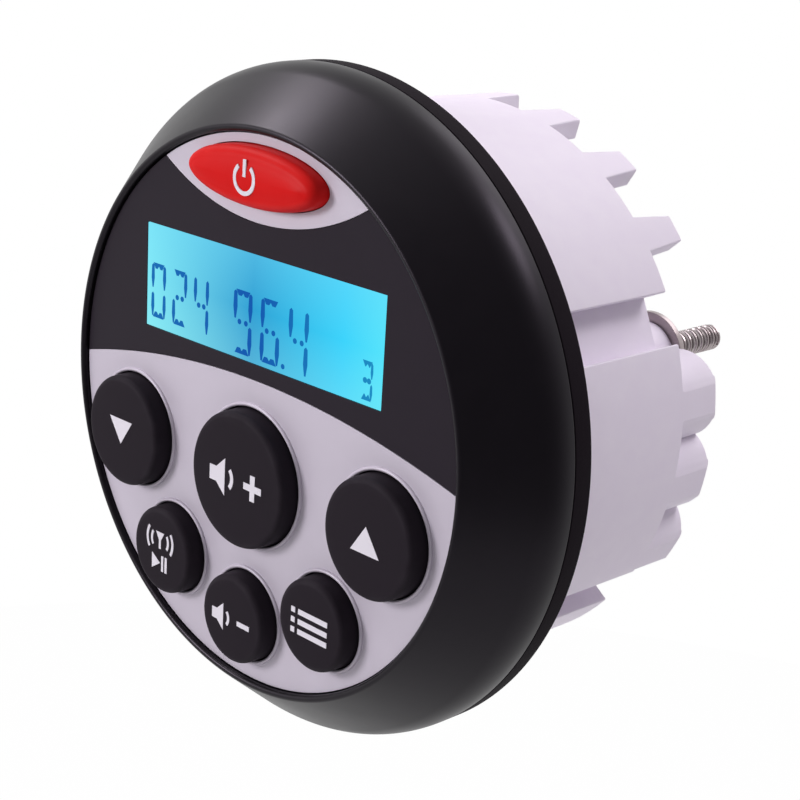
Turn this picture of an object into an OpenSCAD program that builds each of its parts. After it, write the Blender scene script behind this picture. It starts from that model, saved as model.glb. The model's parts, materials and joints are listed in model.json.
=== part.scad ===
// Round flush-mount marine stereo: front face forward along -Y, +Z up, millimetres.
// The origin is on the body's axis, in the plane of the panel that the stereo is let into.

/* [Body] */
// Radius of the body, which goes through the hole in the panel
body_r = 42.5; // [38:0.1:60]
// Depth of the body from the panel to its rear wall's outer face
body_len = 27.7; // [25:0.1:60]
// Thickness of the body's side wall
wall_t = 2.7; // [2:0.1:3]
// Thickness of the body's rear wall
rear_t = 2.2; // [2:0.1:4.4]
// Width of the screwdriver channels along the body
channel_w = 7.4; // [5:0.1:9]
// Depth of the screwdriver channels
channel_depth = 4.2; // [4:0.1:4.6]

/* [Fins and ribs] */
// Length of the cooling fins behind the rear wall
fin_len = 7.8; // [4:0.1:12]
// Number of places for fins round the body
fin_count = 21; // [12:1:24]
// Width of a fin at its root
fin_root_w = 5.7; // [3:0.1:7]
// Width of a fin at its tip
fin_tip_w = 4.1; // [2:0.1:5.6]
// Radial depth of the fins at the top
fin_depth = 3.2; // [2:0.1:6]
// Radius of the round ribs at both sides
rib_r = 6.4; // [5:0.1:7.5]
// Radius of the rounded rear corner of fins and ribs
corner_r = 0.5; // [0.3:0.1:2.5]

/* [Bezel and gasket] */
// How far the bezel laps over the panel, outside the body
bezel_lap = 6.5; // [5:0.1:15]
// Bulge of the bezel's sloping side, measured from its chord
bezel_bulge = 0.9; // [0.2:0.1:2]
// How far the bezel's crest stands in front of the face
crest_h = 0.9; // [0.4:0.1:2]
// Width of the ledge inside the bezel that carries the face plate
ledge_w = 1.4; // [0.8:0.1:1.8]
// Thickness of the panel gasket
gasket_t = 3.3; // [1:0.1:4]

/* [Face] */
// How much smaller the face's radius is than the body's
face_inset = 2.5; // [2:0.1:4]
// How far the face stands in front of the panel
face_depth = 15.3; // [13:0.1:20]
// Thickness of the face overlays
overlay_t = 0.3; // [0.2:0.05:0.6]
// Thickness of the face plate
plate_t = 2.2; // [1.6:0.1:2.8]
// Height of the silver overlay's top edge on the centre line, as a share of the face's radius
silver_top_share = 0.135; // [0.1:0.005:0.16]
// Drop of that edge from the centre line to the rim, as a share of the face's radius
silver_drop_share = 0.129; // [0.05:0.001:0.2]
// Height of the lowest point of the silver lens shape round the power key, as a share of the face's radius
eye_low_share = 0.6925; // [0.66:0.0005:0.72]
// Radius of the lower edge of that lens shape, as a share of the face's radius
eye_r_share = 1.0125; // [0.85:0.0005:1.5]

/* [Display] */
// Width of the display window, as a share of the face's width
window_w_share = 0.63; // [0.5:0.01:0.65]
// Height of the display window, as a share of the face's width
window_h_share = 0.193; // [0.15:0.001:0.21]
// Height of the window's centre above the axis, as a share of the face's radius
window_z_share = 0.3875; // [0.36:0.0005:0.41]
// Width of the glass hidden behind the plate at each side of the window
glass_border = 1; // [0.6:0.1:1.2]
// Thickness of the display glass
glass_t = 1.8; // [1:0.1:2.4]

/* [Keys] */
// Radius of the volume up key, as a share of the face's radius
volume_r_share = 0.254; // [0.2:0.001:0.27]
// Depth of that key's centre below the axis, as a share of the face's radius
volume_z_share = 0.2225; // [0.2:0.0005:0.25]
// Radius of the two seek keys, as a share of the face's radius
seek_r_share = 0.216; // [0.17:0.001:0.23]
// Clock angle of the seek keys from the top
seek_angle = 108.5; // [100:0.5:112]
// Radius of the three small keys, as a share of the face's radius
small_r_share = 0.171; // [0.12:0.001:0.18]
// Clock angle of the two small side keys from the top
side_key_angle = 146.2; // [142:0.2:150]
// Clear strip between the keys and the edge of the face
key_margin = 2.9; // [2.4:0.1:5]
// Width of the power key, as a share of the face's width
power_w_share = 0.3375; // [0.28:0.0005:0.36]
// Height of the power key, as a share of the face's width
power_h_share = 0.105; // [0.08:0.001:0.11]
// Clear strip between the power key and the edge of the face
power_margin = 1.55; // [1:0.05:2.2]
// How far the keys stand out of the face
key_rise = 3.2; // [1.5:0.1:4]
// Travel of a key
key_travel = 1; // [0.4:0.1:1.5]
// Running gap round a key in its hole
key_gap = 0.3; // [0.2:0.05:0.5]
// Width of the flange that keeps a key behind the plate
key_flange_w = 0.8; // [0.5:0.1:1.2]
// Thickness of that flange
key_flange_t = 1.2; // [0.8:0.1:1.6]

/* [Mounting studs] */
// Diameter of the studs' free ends
stud_d = 4; // [3:0.5:5]
// Diameter of the studs' shanks, in the body and the nut
shank_d = 3.6; // [2.6:0.1:4.6]
// Distance of the studs' centres from the body's outside
stud_inset = 12.3; // [11.5:0.1:15]
// Clock angle of the first stud from the top
stud_angle = 73.5; // [71:0.1:77]
// Length of the studs behind the fins
stud_free = 16.1; // [6:0.1:50]
// Radius of the round bosses that carry the studs
stud_boss_r = 4.7; // [3.2:0.1:7]

/* [Boards] */
// Thickness of the circuit boards
board_t = 1.6; // [1:0.1:2]
// Distance of the main board's front behind the panel
main_board_y = 8; // [5:0.1:9]
// Distance of the main board's fixing posts from the body's outside
post_inset = 12.5; // [11:0.1:15]
// Depth of the grommet's centre below the axis
grommet_drop = 14; // [12:0.5:18]
// Radius of the hole for the grommet
grommet_r = 6; // [4:0.1:7]

/* [Hidden] */
$fn = 96;
// Cut tools run this far past the faces that they cut
past = 1;
// Seats and fits between pieces that do not move
seat_gap = 0.15;
thread_gap = 0.05;
inlay_gap = 0.05;

// Sizes that follow the body
bezel_r = body_r + bezel_lap;
face_r = body_r - face_inset;
silver_top = face_r * silver_top_share;
silver_drop = face_r * silver_drop_share;
eye_low = face_r * eye_low_share;
eye_r = face_r * eye_r_share;
window_w = 2 * face_r * window_w_share;
window_h = 2 * face_r * window_h_share;
window_z = face_r * window_z_share;
volume_key_r = face_r * volume_r_share;
volume_key_z = -face_r * volume_z_share;
seek_key_r = face_r * seek_r_share;
small_key_r = face_r * small_r_share;
power_w = 2 * face_r * power_w_share;
power_h = 2 * face_r * power_h_share;
stud_pitch_r = body_r - stud_inset;
post_pitch_r = body_r - post_inset;

// Planes along Y, from the front to the rear
y_face = -face_depth;
y_crest = y_face - crest_h;
y_key = y_face - key_rise;
y_plate = y_face + overlay_t;
y_plate_back = y_plate + plate_t;
key_seat_gap = 0.15;
y_flange = y_plate_back + key_seat_gap;
y_flange_back = y_flange + key_flange_t;
dome_gap = 0.1;
y_dome = y_flange_back + dome_gap;
dome_spare = 0.75;
y_membrane = y_dome + key_travel + dome_spare;
membrane_t = 0.8;
y_control = y_membrane + membrane_t;
y_control_back = y_control + board_t;
board_clear = 0.1;
y_shelf = y_control_back - board_clear;
y_rim = -gasket_t;
y_main = main_board_y;
y_main_back = y_main + board_t;
y_root = body_len;
y_wall = y_root - rear_t;
y_tip = y_root + fin_len;
seat_rise = 0.2;
y_seat = y_tip + seat_rise;

// Radii
opening_gap = 0.05;
opening_r = face_r + opening_gap;
plate_r = opening_r - seat_gap;
overlay_r = plate_r - inlay_gap;
ledge_r = face_r - ledge_w;
bore_gap = 0.2;
spigot_step = 0.6;
spigot_r = body_r - spigot_step;
bore_r = spigot_r + bore_gap;
gasket_gap = 0.5;
gasket_r = body_r + gasket_gap;
cavity_r = body_r - wall_t;
channel_r = body_r - channel_depth;
channel_wall = 2;
bulge_r = channel_r - channel_wall;
collar_gap = 0.3;
collar_r = ledge_r - collar_gap;
board_edge = 0.2;
control_r = collar_r - board_edge;
main_edge = 0.8;
main_r = bulge_r - main_edge;
ledge_clear = 0.4;
behind_ledge_r = ledge_r - ledge_clear;

// Screws that hold the bezel to the housing, from behind through the channels
bezel_screw_d = 1.8;
bezel_head_r = 1.6;
bezel_head_h = 1.6;
head_clear = 0.1;
bezel_screw_r = channel_r + bezel_head_r + head_clear;
bezel_screw_reach = 3.6;
head_seat_y = 0;
channel_angles = [66, 126, 246, 306];
fin_phase = channel_angles[0];

// Small board screws, in posts behind the face plate
board_screw_d = 1.8;
board_screw_bite = 3;
board_head_r = 1.7;
board_head_h = 1.3;
post_r = 1.7;
outer_post_inset = 4.8;
outer_post_r = face_r - outer_post_inset;
outer_post_angle = 70.8;
inner_post_share = 0.53;
inner_post_r = face_r * inner_post_share;
inner_post_angle = 157.5;
plate_posts = [
    [outer_post_r, outer_post_angle], [inner_post_r, inner_post_angle],
    [inner_post_r, -inner_post_angle], [outer_post_r, -outer_post_angle]
];

// Main board screws, in posts of the housing
main_post_r = 2.6;
main_post_angles = [36, 144, 216, 324];
main_screw_d = 2.4;
main_head_r = 2.2;
main_head_h = 1.6;
main_screw_len = 8;

// Sealing ring between housing and bezel
ring_groove = 0.55;
ring_d = ring_groove + bore_gap - thread_gap;
ring_y = (y_shelf + y_rim) / 2;
ring_r = spigot_r - ring_groove + (ring_groove + bore_gap) / 2;

// Coring groove behind the bezel's rim
core_in = 1.9;
core_w = 1.4;
core_depth = 3.6;

// Stud hardware
washer_over = 1.4;
washer_r = stud_boss_r + washer_over;
washer_t = 1;
nut_flats = 7;
nut_h = 2.2;
stud_floor = 1.2;
stud_bite = y_seat - y_wall - stud_floor;
y_nut = y_seat + washer_t;
y_nut_back = y_nut + nut_h;
stud_end = y_tip + stud_free;
stud_angles = [stud_angle, stud_angle + 180];

// Fins run this far into the rear wall, and the round ribs this far past the body before they are trimmed
fin_sunk = 0.4;
boss_sunk = 0.6;
rib_over = 0.29;

// Silver edge arc through the centre line and the rim
silver_arc_r = (pow(face_r, 2) + pow(silver_drop, 2)) / (2 * silver_drop);

// Key places
small_pitch_r = face_r - key_margin - small_key_r;
seek_pitch_r = face_r - key_margin - seek_key_r;
power_z = face_r - power_margin - power_h / 2;
power_tab_reach = 1.5;
power_tab_w = power_w + 2 * power_tab_reach;
power_tab_h = 4;
power_tab_top = sqrt(pow(behind_ledge_r, 2) - pow(power_tab_w / 2, 2));
power_tab_low = power_tab_top - power_tab_h;
key_round = 0.9;
key_draft = 0.15;
KEYS = [
    ["volume_up", 0, volume_key_z, volume_key_r],
    ["volume_down", 0, -small_pitch_r, small_key_r],
    ["seek_up", seek_pitch_r * sin(seek_angle), seek_pitch_r * cos(seek_angle), seek_key_r],
    ["seek_down", -seek_pitch_r * sin(seek_angle), seek_pitch_r * cos(seek_angle), seek_key_r],
    ["play", -small_pitch_r * sin(side_key_angle), small_pitch_r * cos(side_key_angle), small_key_r],
    ["mode", small_pitch_r * sin(side_key_angle), small_pitch_r * cos(side_key_angle), small_key_r]
];
dome_r = 3.2;
dome_top_r = 2;
dome_places = concat([[0, power_z]], [for (k = KEYS) [k[1], k[2]]]);

// Display stack
window_fit = 0.1;
frame_fit = 0.15;
frame_t = 0.5;
glass_w = window_w + 2 * glass_border;
glass_h = window_h + 2 * glass_border;
frame_w = glass_w + 2 * (frame_fit + frame_t);
frame_h = glass_h + 2 * (frame_fit + frame_t);
y_glass_back = y_plate_back + glass_t;
strip_h = 1.8;
strip_inset = 2;
strip_w = glass_w - 2 * strip_inset;
light_edge = 0.4;

// Circuit parts: sizes along X, Y and Z, and places as shares of their board's radius
controller_size = [10, 1.2, 10];
controller_at = control_r * [-0.37, 0.21];
memory_size = [5, 1, 4];
memory_at = control_r * [0.05, 0.26];
link_size = [22, 0, 5];
link_at = main_r * [0, 0.68];
tuner_size = [20, 5.5, 16];
tuner_at = main_r * [0.4, -0.17];
regulator_size = [9, 3, 7];
regulator_at = main_r * [-0.4, -0.34];
amplifier_size = [20, 4.6, 15];
amplifier_at = main_r * [0, 0.4];
amplifier_pin_d = 0.8;
amplifier_pins = 9;
amplifier_pin_pitch = 2;
pad_t = 0.3;
pad_edge = 1;
capacitor_r = 4;
capacitor_len = 12;
capacitor_places = [main_r * [-0.565, -0.055], main_r * [-0.565, -0.31], main_r * [0.565, -0.055]];
coil_r = 5;
coil_core_r = 2.2;
coil_len = 7;
coil_at = main_r * [0.565, -0.395];
socket_size = [18, 9, 8];
socket_at = main_r * [0, -0.76];
socket_wall = 1.2;

// Grommet in the rear wall
grommet_at = [0, -grommet_drop];
grommet_gap = 0.1;
grommet_flange = 2;
grommet_lip_t = 2;
grommet_bore_r = 3.2;

// A flat shape drawn in X and Z, from its front plane to its rear plane
module slab(front, rear) {
    translate([0, rear, 0])
        rotate([90, 0, 0])
            linear_extrude(rear - front)
                children();
}

// A turned solid about Y, from points of radius and Y
module turned(points) {
    rotate([90, 0, 0])
        rotate_extrude()
            polygon([for (p = points) [p[0], -p[1]]]);
}

// A round bar along Y
module bar(r, front, rear) {
    translate([0, rear, 0])
        rotate([90, 0, 0])
            cylinder(r = r, h = rear - front);
}

// Children placed at a clock angle and a distance from the axis
module at_clock(angle, radius) {
    translate([radius * sin(angle), 0, radius * cos(angle)])
        children();
}

// Children placed in X and Z
module at_xz(place) {
    translate([place[0], 0, place[1]])
        children();
}

// A box from its front plane, centred in X and Z
module block(size, front, rear) {
    translate([-size[0] / 2, front, -size[2] / 2])
        cube([size[0], rear - front, size[2]]);
}

function ellipse_points(w, h, n = 72) = [for (i = [0:n - 1]) [w / 2 * cos(360 * i / n), h / 2 * sin(360 * i / n)]];

function arc_points(centre, r, from, to, n) =
    [for (i = [0:n]) [centre[0] + r * cos(from + (to - from) * i / n), centre[1] + r * sin(from + (to - from) * i / n)]];

// Points on a shallow curve between two points, bulging to the chord's left
function bowed_points(a, b, bulge, n) =
    let (d = b - a, across = [-d[1], d[0]] / norm(d))
    [for (i = [0:n]) let (t = i / n) a + d * t + across * bulge * 4 * t * (1 - t)];

// Flat shapes of the face
module silver_edge(grow) {
    translate([0, silver_top - silver_arc_r])
        circle(r = silver_arc_r + grow, $fn = 360);
}

module eye_edge(grow) {
    translate([0, eye_low + eye_r])
        circle(r = eye_r + grow, $fn = 180);
}

module window_shape(grow) {
    translate([0, window_z])
        square([window_w + 2 * grow, window_h + 2 * grow], center = true);
}

module power_shape(grow) {
    translate([0, power_z])
        polygon(ellipse_points(power_w + 2 * grow, power_h + 2 * grow));
}

module key_holes() {
    for (k = KEYS)
        translate([k[1], k[2]])
            circle(r = k[3] + key_gap);
}

// Front mouldings
module front_bezel() {
    crest_w = 0.9;
    opening_lip = 0.4;
    rim_round = 0.5;
    slope = bowed_points([opening_r + crest_w, y_crest], [bezel_r, y_rim - rim_round], -bezel_bulge, 10);
    section = concat(
        [[opening_r, y_crest + opening_lip], [opening_r + opening_lip, y_crest]],
        slope,
        [[bezel_r - rim_round, y_rim],
         [bore_r + core_in + core_w, y_rim], [bore_r + core_in + core_w, y_rim - core_depth],
         [bore_r + core_in, y_rim - core_depth], [bore_r + core_in, y_rim],
         [bore_r, y_rim], [bore_r, y_shelf], [ledge_r, y_shelf],
         [ledge_r, y_plate_back], [opening_r, y_plate_back]]);
    color("#17141a")
        difference() {
            turned(section);
            for (a = channel_angles)
                at_clock(a, bezel_screw_r)
                    bar(bezel_screw_d / 2 + thread_gap, y_shelf - bezel_screw_reach - thread_gap, y_shelf + past);
        }
}

module face_plate() {
    color("#26222a")
        difference() {
            union() {
                bar(plate_r, y_plate, y_plate_back);
                for (p = plate_posts)
                    at_clock(p[1], p[0])
                        bar(post_r, y_plate_back - past, y_control);
            }
            slab(y_plate - past, y_plate_back + past) {
                window_shape(window_fit);
                power_shape(key_gap);
                key_holes();
            }
            for (p = plate_posts)
                at_clock(p[1], p[0])
                    bar(board_screw_d / 2 + thread_gap, y_plate_back, y_control + past);
        }
}

module upper_overlay() {
    color("#2b272f")
        slab(y_face, y_plate)
            difference() {
                circle(r = overlay_r);
                silver_edge(inlay_gap);
                eye_edge(inlay_gap);
                window_shape(window_fit);
            }
}

module lower_overlay() {
    color("#c0b9c6")
        slab(y_face, y_plate)
            difference() {
                intersection() {
                    circle(r = overlay_r);
                    silver_edge(-inlay_gap);
                }
                key_holes();
            }
}

module power_overlay() {
    color("#c8bdc7")
        slab(y_face, y_plate)
            difference() {
                intersection() {
                    circle(r = overlay_r);
                    eye_edge(-inlay_gap);
                }
                power_shape(key_gap);
            }
}

// Display
module display_window() {
    color("#9fe3f5")
        slab(y_face, y_plate_back)
            window_shape(0);
}

module display_glass() {
    color("#2f96d6")
        slab(y_plate_back, y_glass_back)
            translate([0, window_z])
                square([glass_w, glass_h], center = true);
}

module display_backlight() {
    low = window_z - glass_h / 2 + strip_h + 2 * light_edge;
    high = window_z + glass_h / 2 - light_edge;
    color("#e9f6fa")
        slab(y_glass_back, y_control)
            translate([-glass_w / 2 + light_edge, low])
                square([glass_w - 2 * light_edge, high - low]);
}

module display_frame() {
    color("#8d9096")
        slab(y_plate_back, y_control)
            translate([0, window_z])
                difference() {
                    square([frame_w, frame_h], center = true);
                    square([frame_w - 2 * frame_t, frame_h - 2 * frame_t], center = true);
                }
}

module display_connector_strip() {
    color("#3a3a3f")
        slab(y_glass_back, y_control)
            translate([-strip_w / 2, window_z - glass_h / 2 + light_edge])
                square([strip_w, strip_h]);
}

// Keys
module round_key(k) {
    x = k[1];
    z = k[2];
    r = k[3];
    rounded = arc_points([r - key_draft - key_round, y_key + key_round], key_round, -90, 0, 6);
    section = concat([[0, y_key]], rounded, [[r, y_flange], [r + key_flange_w, y_flange], [r + key_flange_w, y_flange_back], [0, y_flange_back]]);
    color("#312f36")
        at_xz([x, z])
            turned(section);
}

module power_button() {
    shoulder = key_round / 2;
    y_trim = y_plate_back - key_travel - 2 * seat_gap;
    color("#c82422") {
        slab(y_key + key_round, y_trim)
            power_shape(0);
        slab(y_trim, y_flange_back)
            intersection() {
                power_shape(0);
                circle(r = behind_ledge_r);
            }
        slab(y_key + key_round - shoulder, y_key + key_round)
            power_shape(-shoulder / 2);
        slab(y_key, y_key + key_round - shoulder)
            power_shape(-key_round);
        slab(y_flange, y_flange_back)
            translate([-power_tab_w / 2, power_tab_low])
                square([power_tab_w, power_tab_h]);
    }
}

module rubber_dome(place) {
    color("#77767c")
        at_xz(place)
            turned([[0, y_dome], [dome_top_r, y_dome], [dome_r, y_membrane], [0, y_membrane]]);
}

module volume_up_button() { round_key(KEYS[0]); }
module volume_down_button() { round_key(KEYS[1]); }
module seek_up_button() { round_key(KEYS[2]); }
module seek_down_button() { round_key(KEYS[3]); }
module play_button() { round_key(KEYS[4]); }
module mode_button() { round_key(KEYS[5]); }
module power_dome() { rubber_dome(dome_places[0]); }
module volume_up_dome() { rubber_dome(dome_places[1]); }
module volume_down_dome() { rubber_dome(dome_places[2]); }
module seek_up_dome() { rubber_dome(dome_places[3]); }
module seek_down_dome() { rubber_dome(dome_places[4]); }
module play_dome() { rubber_dome(dome_places[5]); }
module mode_dome() { rubber_dome(dome_places[6]); }

module keypad_membrane() {
    color("#5c5b60")
        difference() {
            bar(control_r, y_membrane, y_control);
            slab(y_membrane - past, y_control + past)
                translate([0, window_z])
                    square([frame_w + 2 * frame_fit, frame_h + 2 * frame_fit], center = true);
            for (p = plate_posts)
                at_clock(p[1], p[0])
                    bar(post_r + seat_gap, y_membrane - past, y_control + past);
        }
}

// Control board behind the face
module control_board() {
    color("#1f6b3a")
        difference() {
            bar(control_r, y_control, y_control_back);
            for (p = plate_posts)
                at_clock(p[1], p[0])
                    bar(board_screw_d / 2 + seat_gap, y_control - past, y_control_back + past);
        }
}

module controller_chip() {
    color("#1a1a1c")
        at_xz(controller_at)
            block(controller_size, y_control_back, y_control_back + controller_size[1]);
}

module memory_chip() {
    color("#1a1a1c")
        at_xz(memory_at)
            block(memory_size, y_control_back, y_control_back + memory_size[1]);
}

module control_board_screws() {
    color("#b9bcc2")
        for (p = plate_posts)
            at_clock(p[1], p[0]) {
                bar(board_screw_d / 2, y_control - board_screw_bite, y_control_back);
                bar(board_head_r, y_control_back, y_control_back + board_head_h);
            }
}

module board_link_header() {
    color("#222226")
        at_xz(link_at)
            block(link_size, y_control_back, y_main);
}

// Main board in the housing
module main_board() {
    color("#1f6b3a")
        difference() {
            bar(main_r, y_main, y_main_back);
            for (a = main_post_angles)
                at_clock(a, post_pitch_r)
                    bar(main_screw_d / 2 + seat_gap, y_main - past, y_main_back + past);
        }
}

module tuner_can() {
    color("#b4b7bb")
        at_xz(tuner_at)
            block(tuner_size, y_main - tuner_size[1], y_main);
}

module regulator() {
    color("#1a1a1c")
        at_xz(regulator_at)
            block(regulator_size, y_main - regulator_size[1], y_main);
}

module amplifier_chip() {
    y_chip_back = y_wall - pad_t;
    y_chip = y_chip_back - amplifier_size[1];
    row = amplifier_pin_pitch * (amplifier_pins - 1);
    color("#202024")
        at_xz(amplifier_at) {
            block(amplifier_size, y_chip, y_chip_back);
            for (i = [0:amplifier_pins - 1])
                translate([i * amplifier_pin_pitch - row / 2, 0, 0])
                    block([amplifier_pin_d, 0, amplifier_pin_d], y_main_back, y_chip + past);
        }
}

module thermal_pad() {
    color("#9aa3ad")
        at_xz(amplifier_at)
            block([amplifier_size[0] - pad_edge, 0, amplifier_size[2] - pad_edge], y_wall - pad_t, y_wall);
}

module filter_capacitors() {
    color("#2b3a63")
        for (c = capacitor_places)
            at_xz(c)
                bar(capacitor_r, y_main_back, y_main_back + capacitor_len);
}

module choke_coil() {
    color("#a8622e")
        at_xz(coil_at)
            difference() {
                bar(coil_r, y_main_back, y_main_back + coil_len);
                bar(coil_core_r, y_main_back - past, y_main_back + coil_len + past);
            }
}

module harness_socket() {
    back = y_main_back + socket_size[1];
    color("#e6e3da")
        at_xz(socket_at)
            difference() {
                block(socket_size, y_main_back, back);
                block([socket_size[0] - 2 * socket_wall, 0, socket_size[2] - 2 * socket_wall],
                      y_main_back + 2 * socket_wall, back + past);
            }
}

module main_board_screws() {
    color("#b9bcc2")
        for (a = main_post_angles)
            at_clock(a, post_pitch_r) {
                bar(main_screw_d / 2, y_main, y_main_back + main_screw_len);
                bar(main_head_r, y_main - main_head_h, y_main);
            }
}

// One shallow fin, standing on the rear wall at the top of the body
module shallow_fin() {
    translate([0, 0, body_r - fin_depth])
        linear_extrude(fin_depth + past)
            polygon([[-fin_root_w / 2, y_root - fin_sunk], [fin_root_w / 2, y_root - fin_sunk],
                     [fin_tip_w / 2, y_tip], [-fin_tip_w / 2, y_tip]]);
}

// One deep round rib, standing on the rear wall at the top of the body
module round_rib() {
    translate([0, 0, body_r - rib_r + rib_over])
        bar(rib_r, y_root - fin_sunk, y_tip);
}

// Places of the fins: none in a channel, and none at the bottom
fin_pitch = 360 / fin_count;
side_limit = 0.5;
bare_limit = 0.6;
function apart(a, b) = abs((a - b + 540) % 360 - 180);
function near_any(a, list, limit) = len([for (b = list) if (apart(a, b) < limit) 1]) > 0;
fin_angles = [for (i = [0:fin_count - 1])
    let (a = fin_phase + i * fin_pitch)
    if (!near_any(a, channel_angles, fin_pitch / 3) && cos(a) > -bare_limit) a];

module fins() {
    intersection() {
        union() {
            for (a = fin_angles)
                rotate([0, a, 0])
                    if (abs(cos(a)) < side_limit) round_rib();
                    else shallow_fin();
        }
        turned(concat([[0, y_wall], [body_r, y_wall]],
                      arc_points([body_r - corner_r, y_tip - corner_r], corner_r, 0, 90, 6),
                      [[0, y_tip]]));
    }
}

module rear_housing() {
    groove = ring_d / 2 + seat_gap / 2;
    color("#e8e0ec")
        difference() {
            union() {
                difference() {
                    union() {
                        bar(spigot_r, y_shelf, head_seat_y + past);
                        bar(body_r, head_seat_y, y_root);
                    }
                    bar(collar_r, y_shelf - past, head_seat_y + past);
                    bar(cavity_r, head_seat_y + bezel_head_h + channel_wall, y_wall);
                    turned([[0, head_seat_y], [collar_r, head_seat_y],
                            [collar_r, head_seat_y + channel_wall],
                            [cavity_r, head_seat_y + bezel_head_h + channel_wall],
                            [0, head_seat_y + bezel_head_h + channel_wall]]);
                }
                intersection() {
                    for (a = channel_angles)
                        rotate([0, a, 0])
                            translate([-channel_w / 2 - channel_wall, head_seat_y, bulge_r])
                                cube([channel_w + 2 * channel_wall, y_wall - head_seat_y + past, channel_depth + channel_wall]);
                    bar(body_r, head_seat_y, y_root);
                }
                for (a = stud_angles)
                    at_clock(a, stud_pitch_r)
                        bar(stud_boss_r, y_root - boss_sunk, y_seat);
                for (a = main_post_angles)
                    at_clock(a, post_pitch_r)
                        bar(main_post_r, y_main_back, y_wall + past);
                fins();
            }
            for (a = channel_angles)
                rotate([0, a, 0])
                    translate([-channel_w / 2, head_seat_y, channel_r])
                        cube([channel_w, y_tip - head_seat_y + past, channel_depth + past]);
            for (a = channel_angles)
                at_clock(a, bezel_screw_r)
                    bar(bezel_screw_d / 2 + seat_gap, y_shelf - past, head_seat_y + past);
            for (a = main_post_angles)
                at_clock(a, post_pitch_r)
                    bar(main_screw_d / 2 + thread_gap, y_main_back - past, y_main_back + main_screw_len + past);
            for (a = stud_angles)
                at_clock(a, stud_pitch_r)
                    bar(shank_d / 2 + thread_gap, y_seat - stud_bite - thread_gap, y_seat + past);
            at_xz(grommet_at)
                bar(grommet_r, y_wall - past, y_root + past);
            turned([[spigot_r - ring_groove, ring_y - groove], [body_r + past, ring_y - groove],
                    [body_r + past, ring_y + groove], [spigot_r - ring_groove, ring_y + groove]]);
        }
}

// Seals and fasteners
module housing_seal() {
    color("#2a2a2c")
        rotate([90, 0, 0])
            translate([0, 0, -ring_y])
                rotate_extrude()
                    translate([ring_r, 0])
                        circle(r = ring_d / 2, $fn = 32);
}

module panel_gasket() {
    color("#1a151b")
        difference() {
            bar(bezel_r, y_rim, 0);
            bar(gasket_r, y_rim - past, past);
        }
}

module bezel_screws() {
    color("#c3c5c9")
        for (a = channel_angles)
            at_clock(a, bezel_screw_r) {
                bar(bezel_screw_d / 2, y_shelf - bezel_screw_reach, head_seat_y);
                bar(bezel_head_r, head_seat_y, head_seat_y + bezel_head_h);
            }
}

module mounting_studs() {
    color("#b8b4b4")
        for (a = stud_angles)
            at_clock(a, stud_pitch_r) {
                bar(shank_d / 2, y_seat - stud_bite, y_nut_back);
                bar(stud_d / 2, y_nut_back, stud_end);
            }
}

module stud_washers() {
    color("#c8c8cc")
        for (a = stud_angles)
            at_clock(a, stud_pitch_r)
                difference() {
                    bar(washer_r, y_seat, y_nut);
                    bar(shank_d / 2 + seat_gap, y_seat - past, y_nut + past);
                }
}

module stud_nuts() {
    color("#c8c8cc")
        for (a = stud_angles)
            at_clock(a, stud_pitch_r)
                difference() {
                    translate([0, y_nut_back, 0])
                        rotate([90, 0, 0])
                            cylinder(d = nut_flats / cos(30), h = nut_h, $fn = 6);
                    bar(shank_d / 2 + thread_gap, y_nut - past, y_nut_back + past);
                }
}

module cable_grommet() {
    color("#232226")
        at_xz(grommet_at)
            turned([[grommet_bore_r, y_wall - grommet_lip_t], [grommet_r + grommet_flange, y_wall - grommet_lip_t],
                    [grommet_r + grommet_flange, y_wall], [grommet_r - grommet_gap, y_wall],
                    [grommet_r - grommet_gap, y_root], [grommet_r + grommet_flange, y_root],
                    [grommet_r + grommet_flange, y_root + grommet_lip_t], [grommet_bore_r, y_root + grommet_lip_t]]);
}

front_bezel();
face_plate();
upper_overlay();
lower_overlay();
power_overlay();
display_window();
display_glass();
display_backlight();
display_frame();
display_connector_strip();
power_button();
volume_up_button();
volume_down_button();
seek_up_button();
seek_down_button();
play_button();
mode_button();
power_dome();
volume_up_dome();
volume_down_dome();
seek_up_dome();
seek_down_dome();
play_dome();
mode_dome();
keypad_membrane();
control_board();
controller_chip();
memory_chip();
control_board_screws();
board_link_header();
main_board();
tuner_can();
regulator();
amplifier_chip();
thermal_pad();
filter_capacitors();
choke_coil();
harness_socket();
main_board_screws();
rear_housing();
housing_seal();
panel_gasket();
bezel_screws();
mounting_studs();
stud_washers();
stud_nuts();
cable_grommet();
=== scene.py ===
"""Looks of a round, panel-mounted marine stereo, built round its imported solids.

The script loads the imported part, dresses each of its pieces in a finish made of nodes, replaces the pieces
that show with finer ones of the same size, and sets the camera, the lamps and the floor.
"""

from __future__ import annotations

import json
import logging
import math
from dataclasses import dataclass, field
from enum import Enum
from typing import Callable, Iterable, Sequence

import bmesh
import bpy
from mathutils import Matrix, Vector
from mathutils.bvhtree import BVHTree

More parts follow.
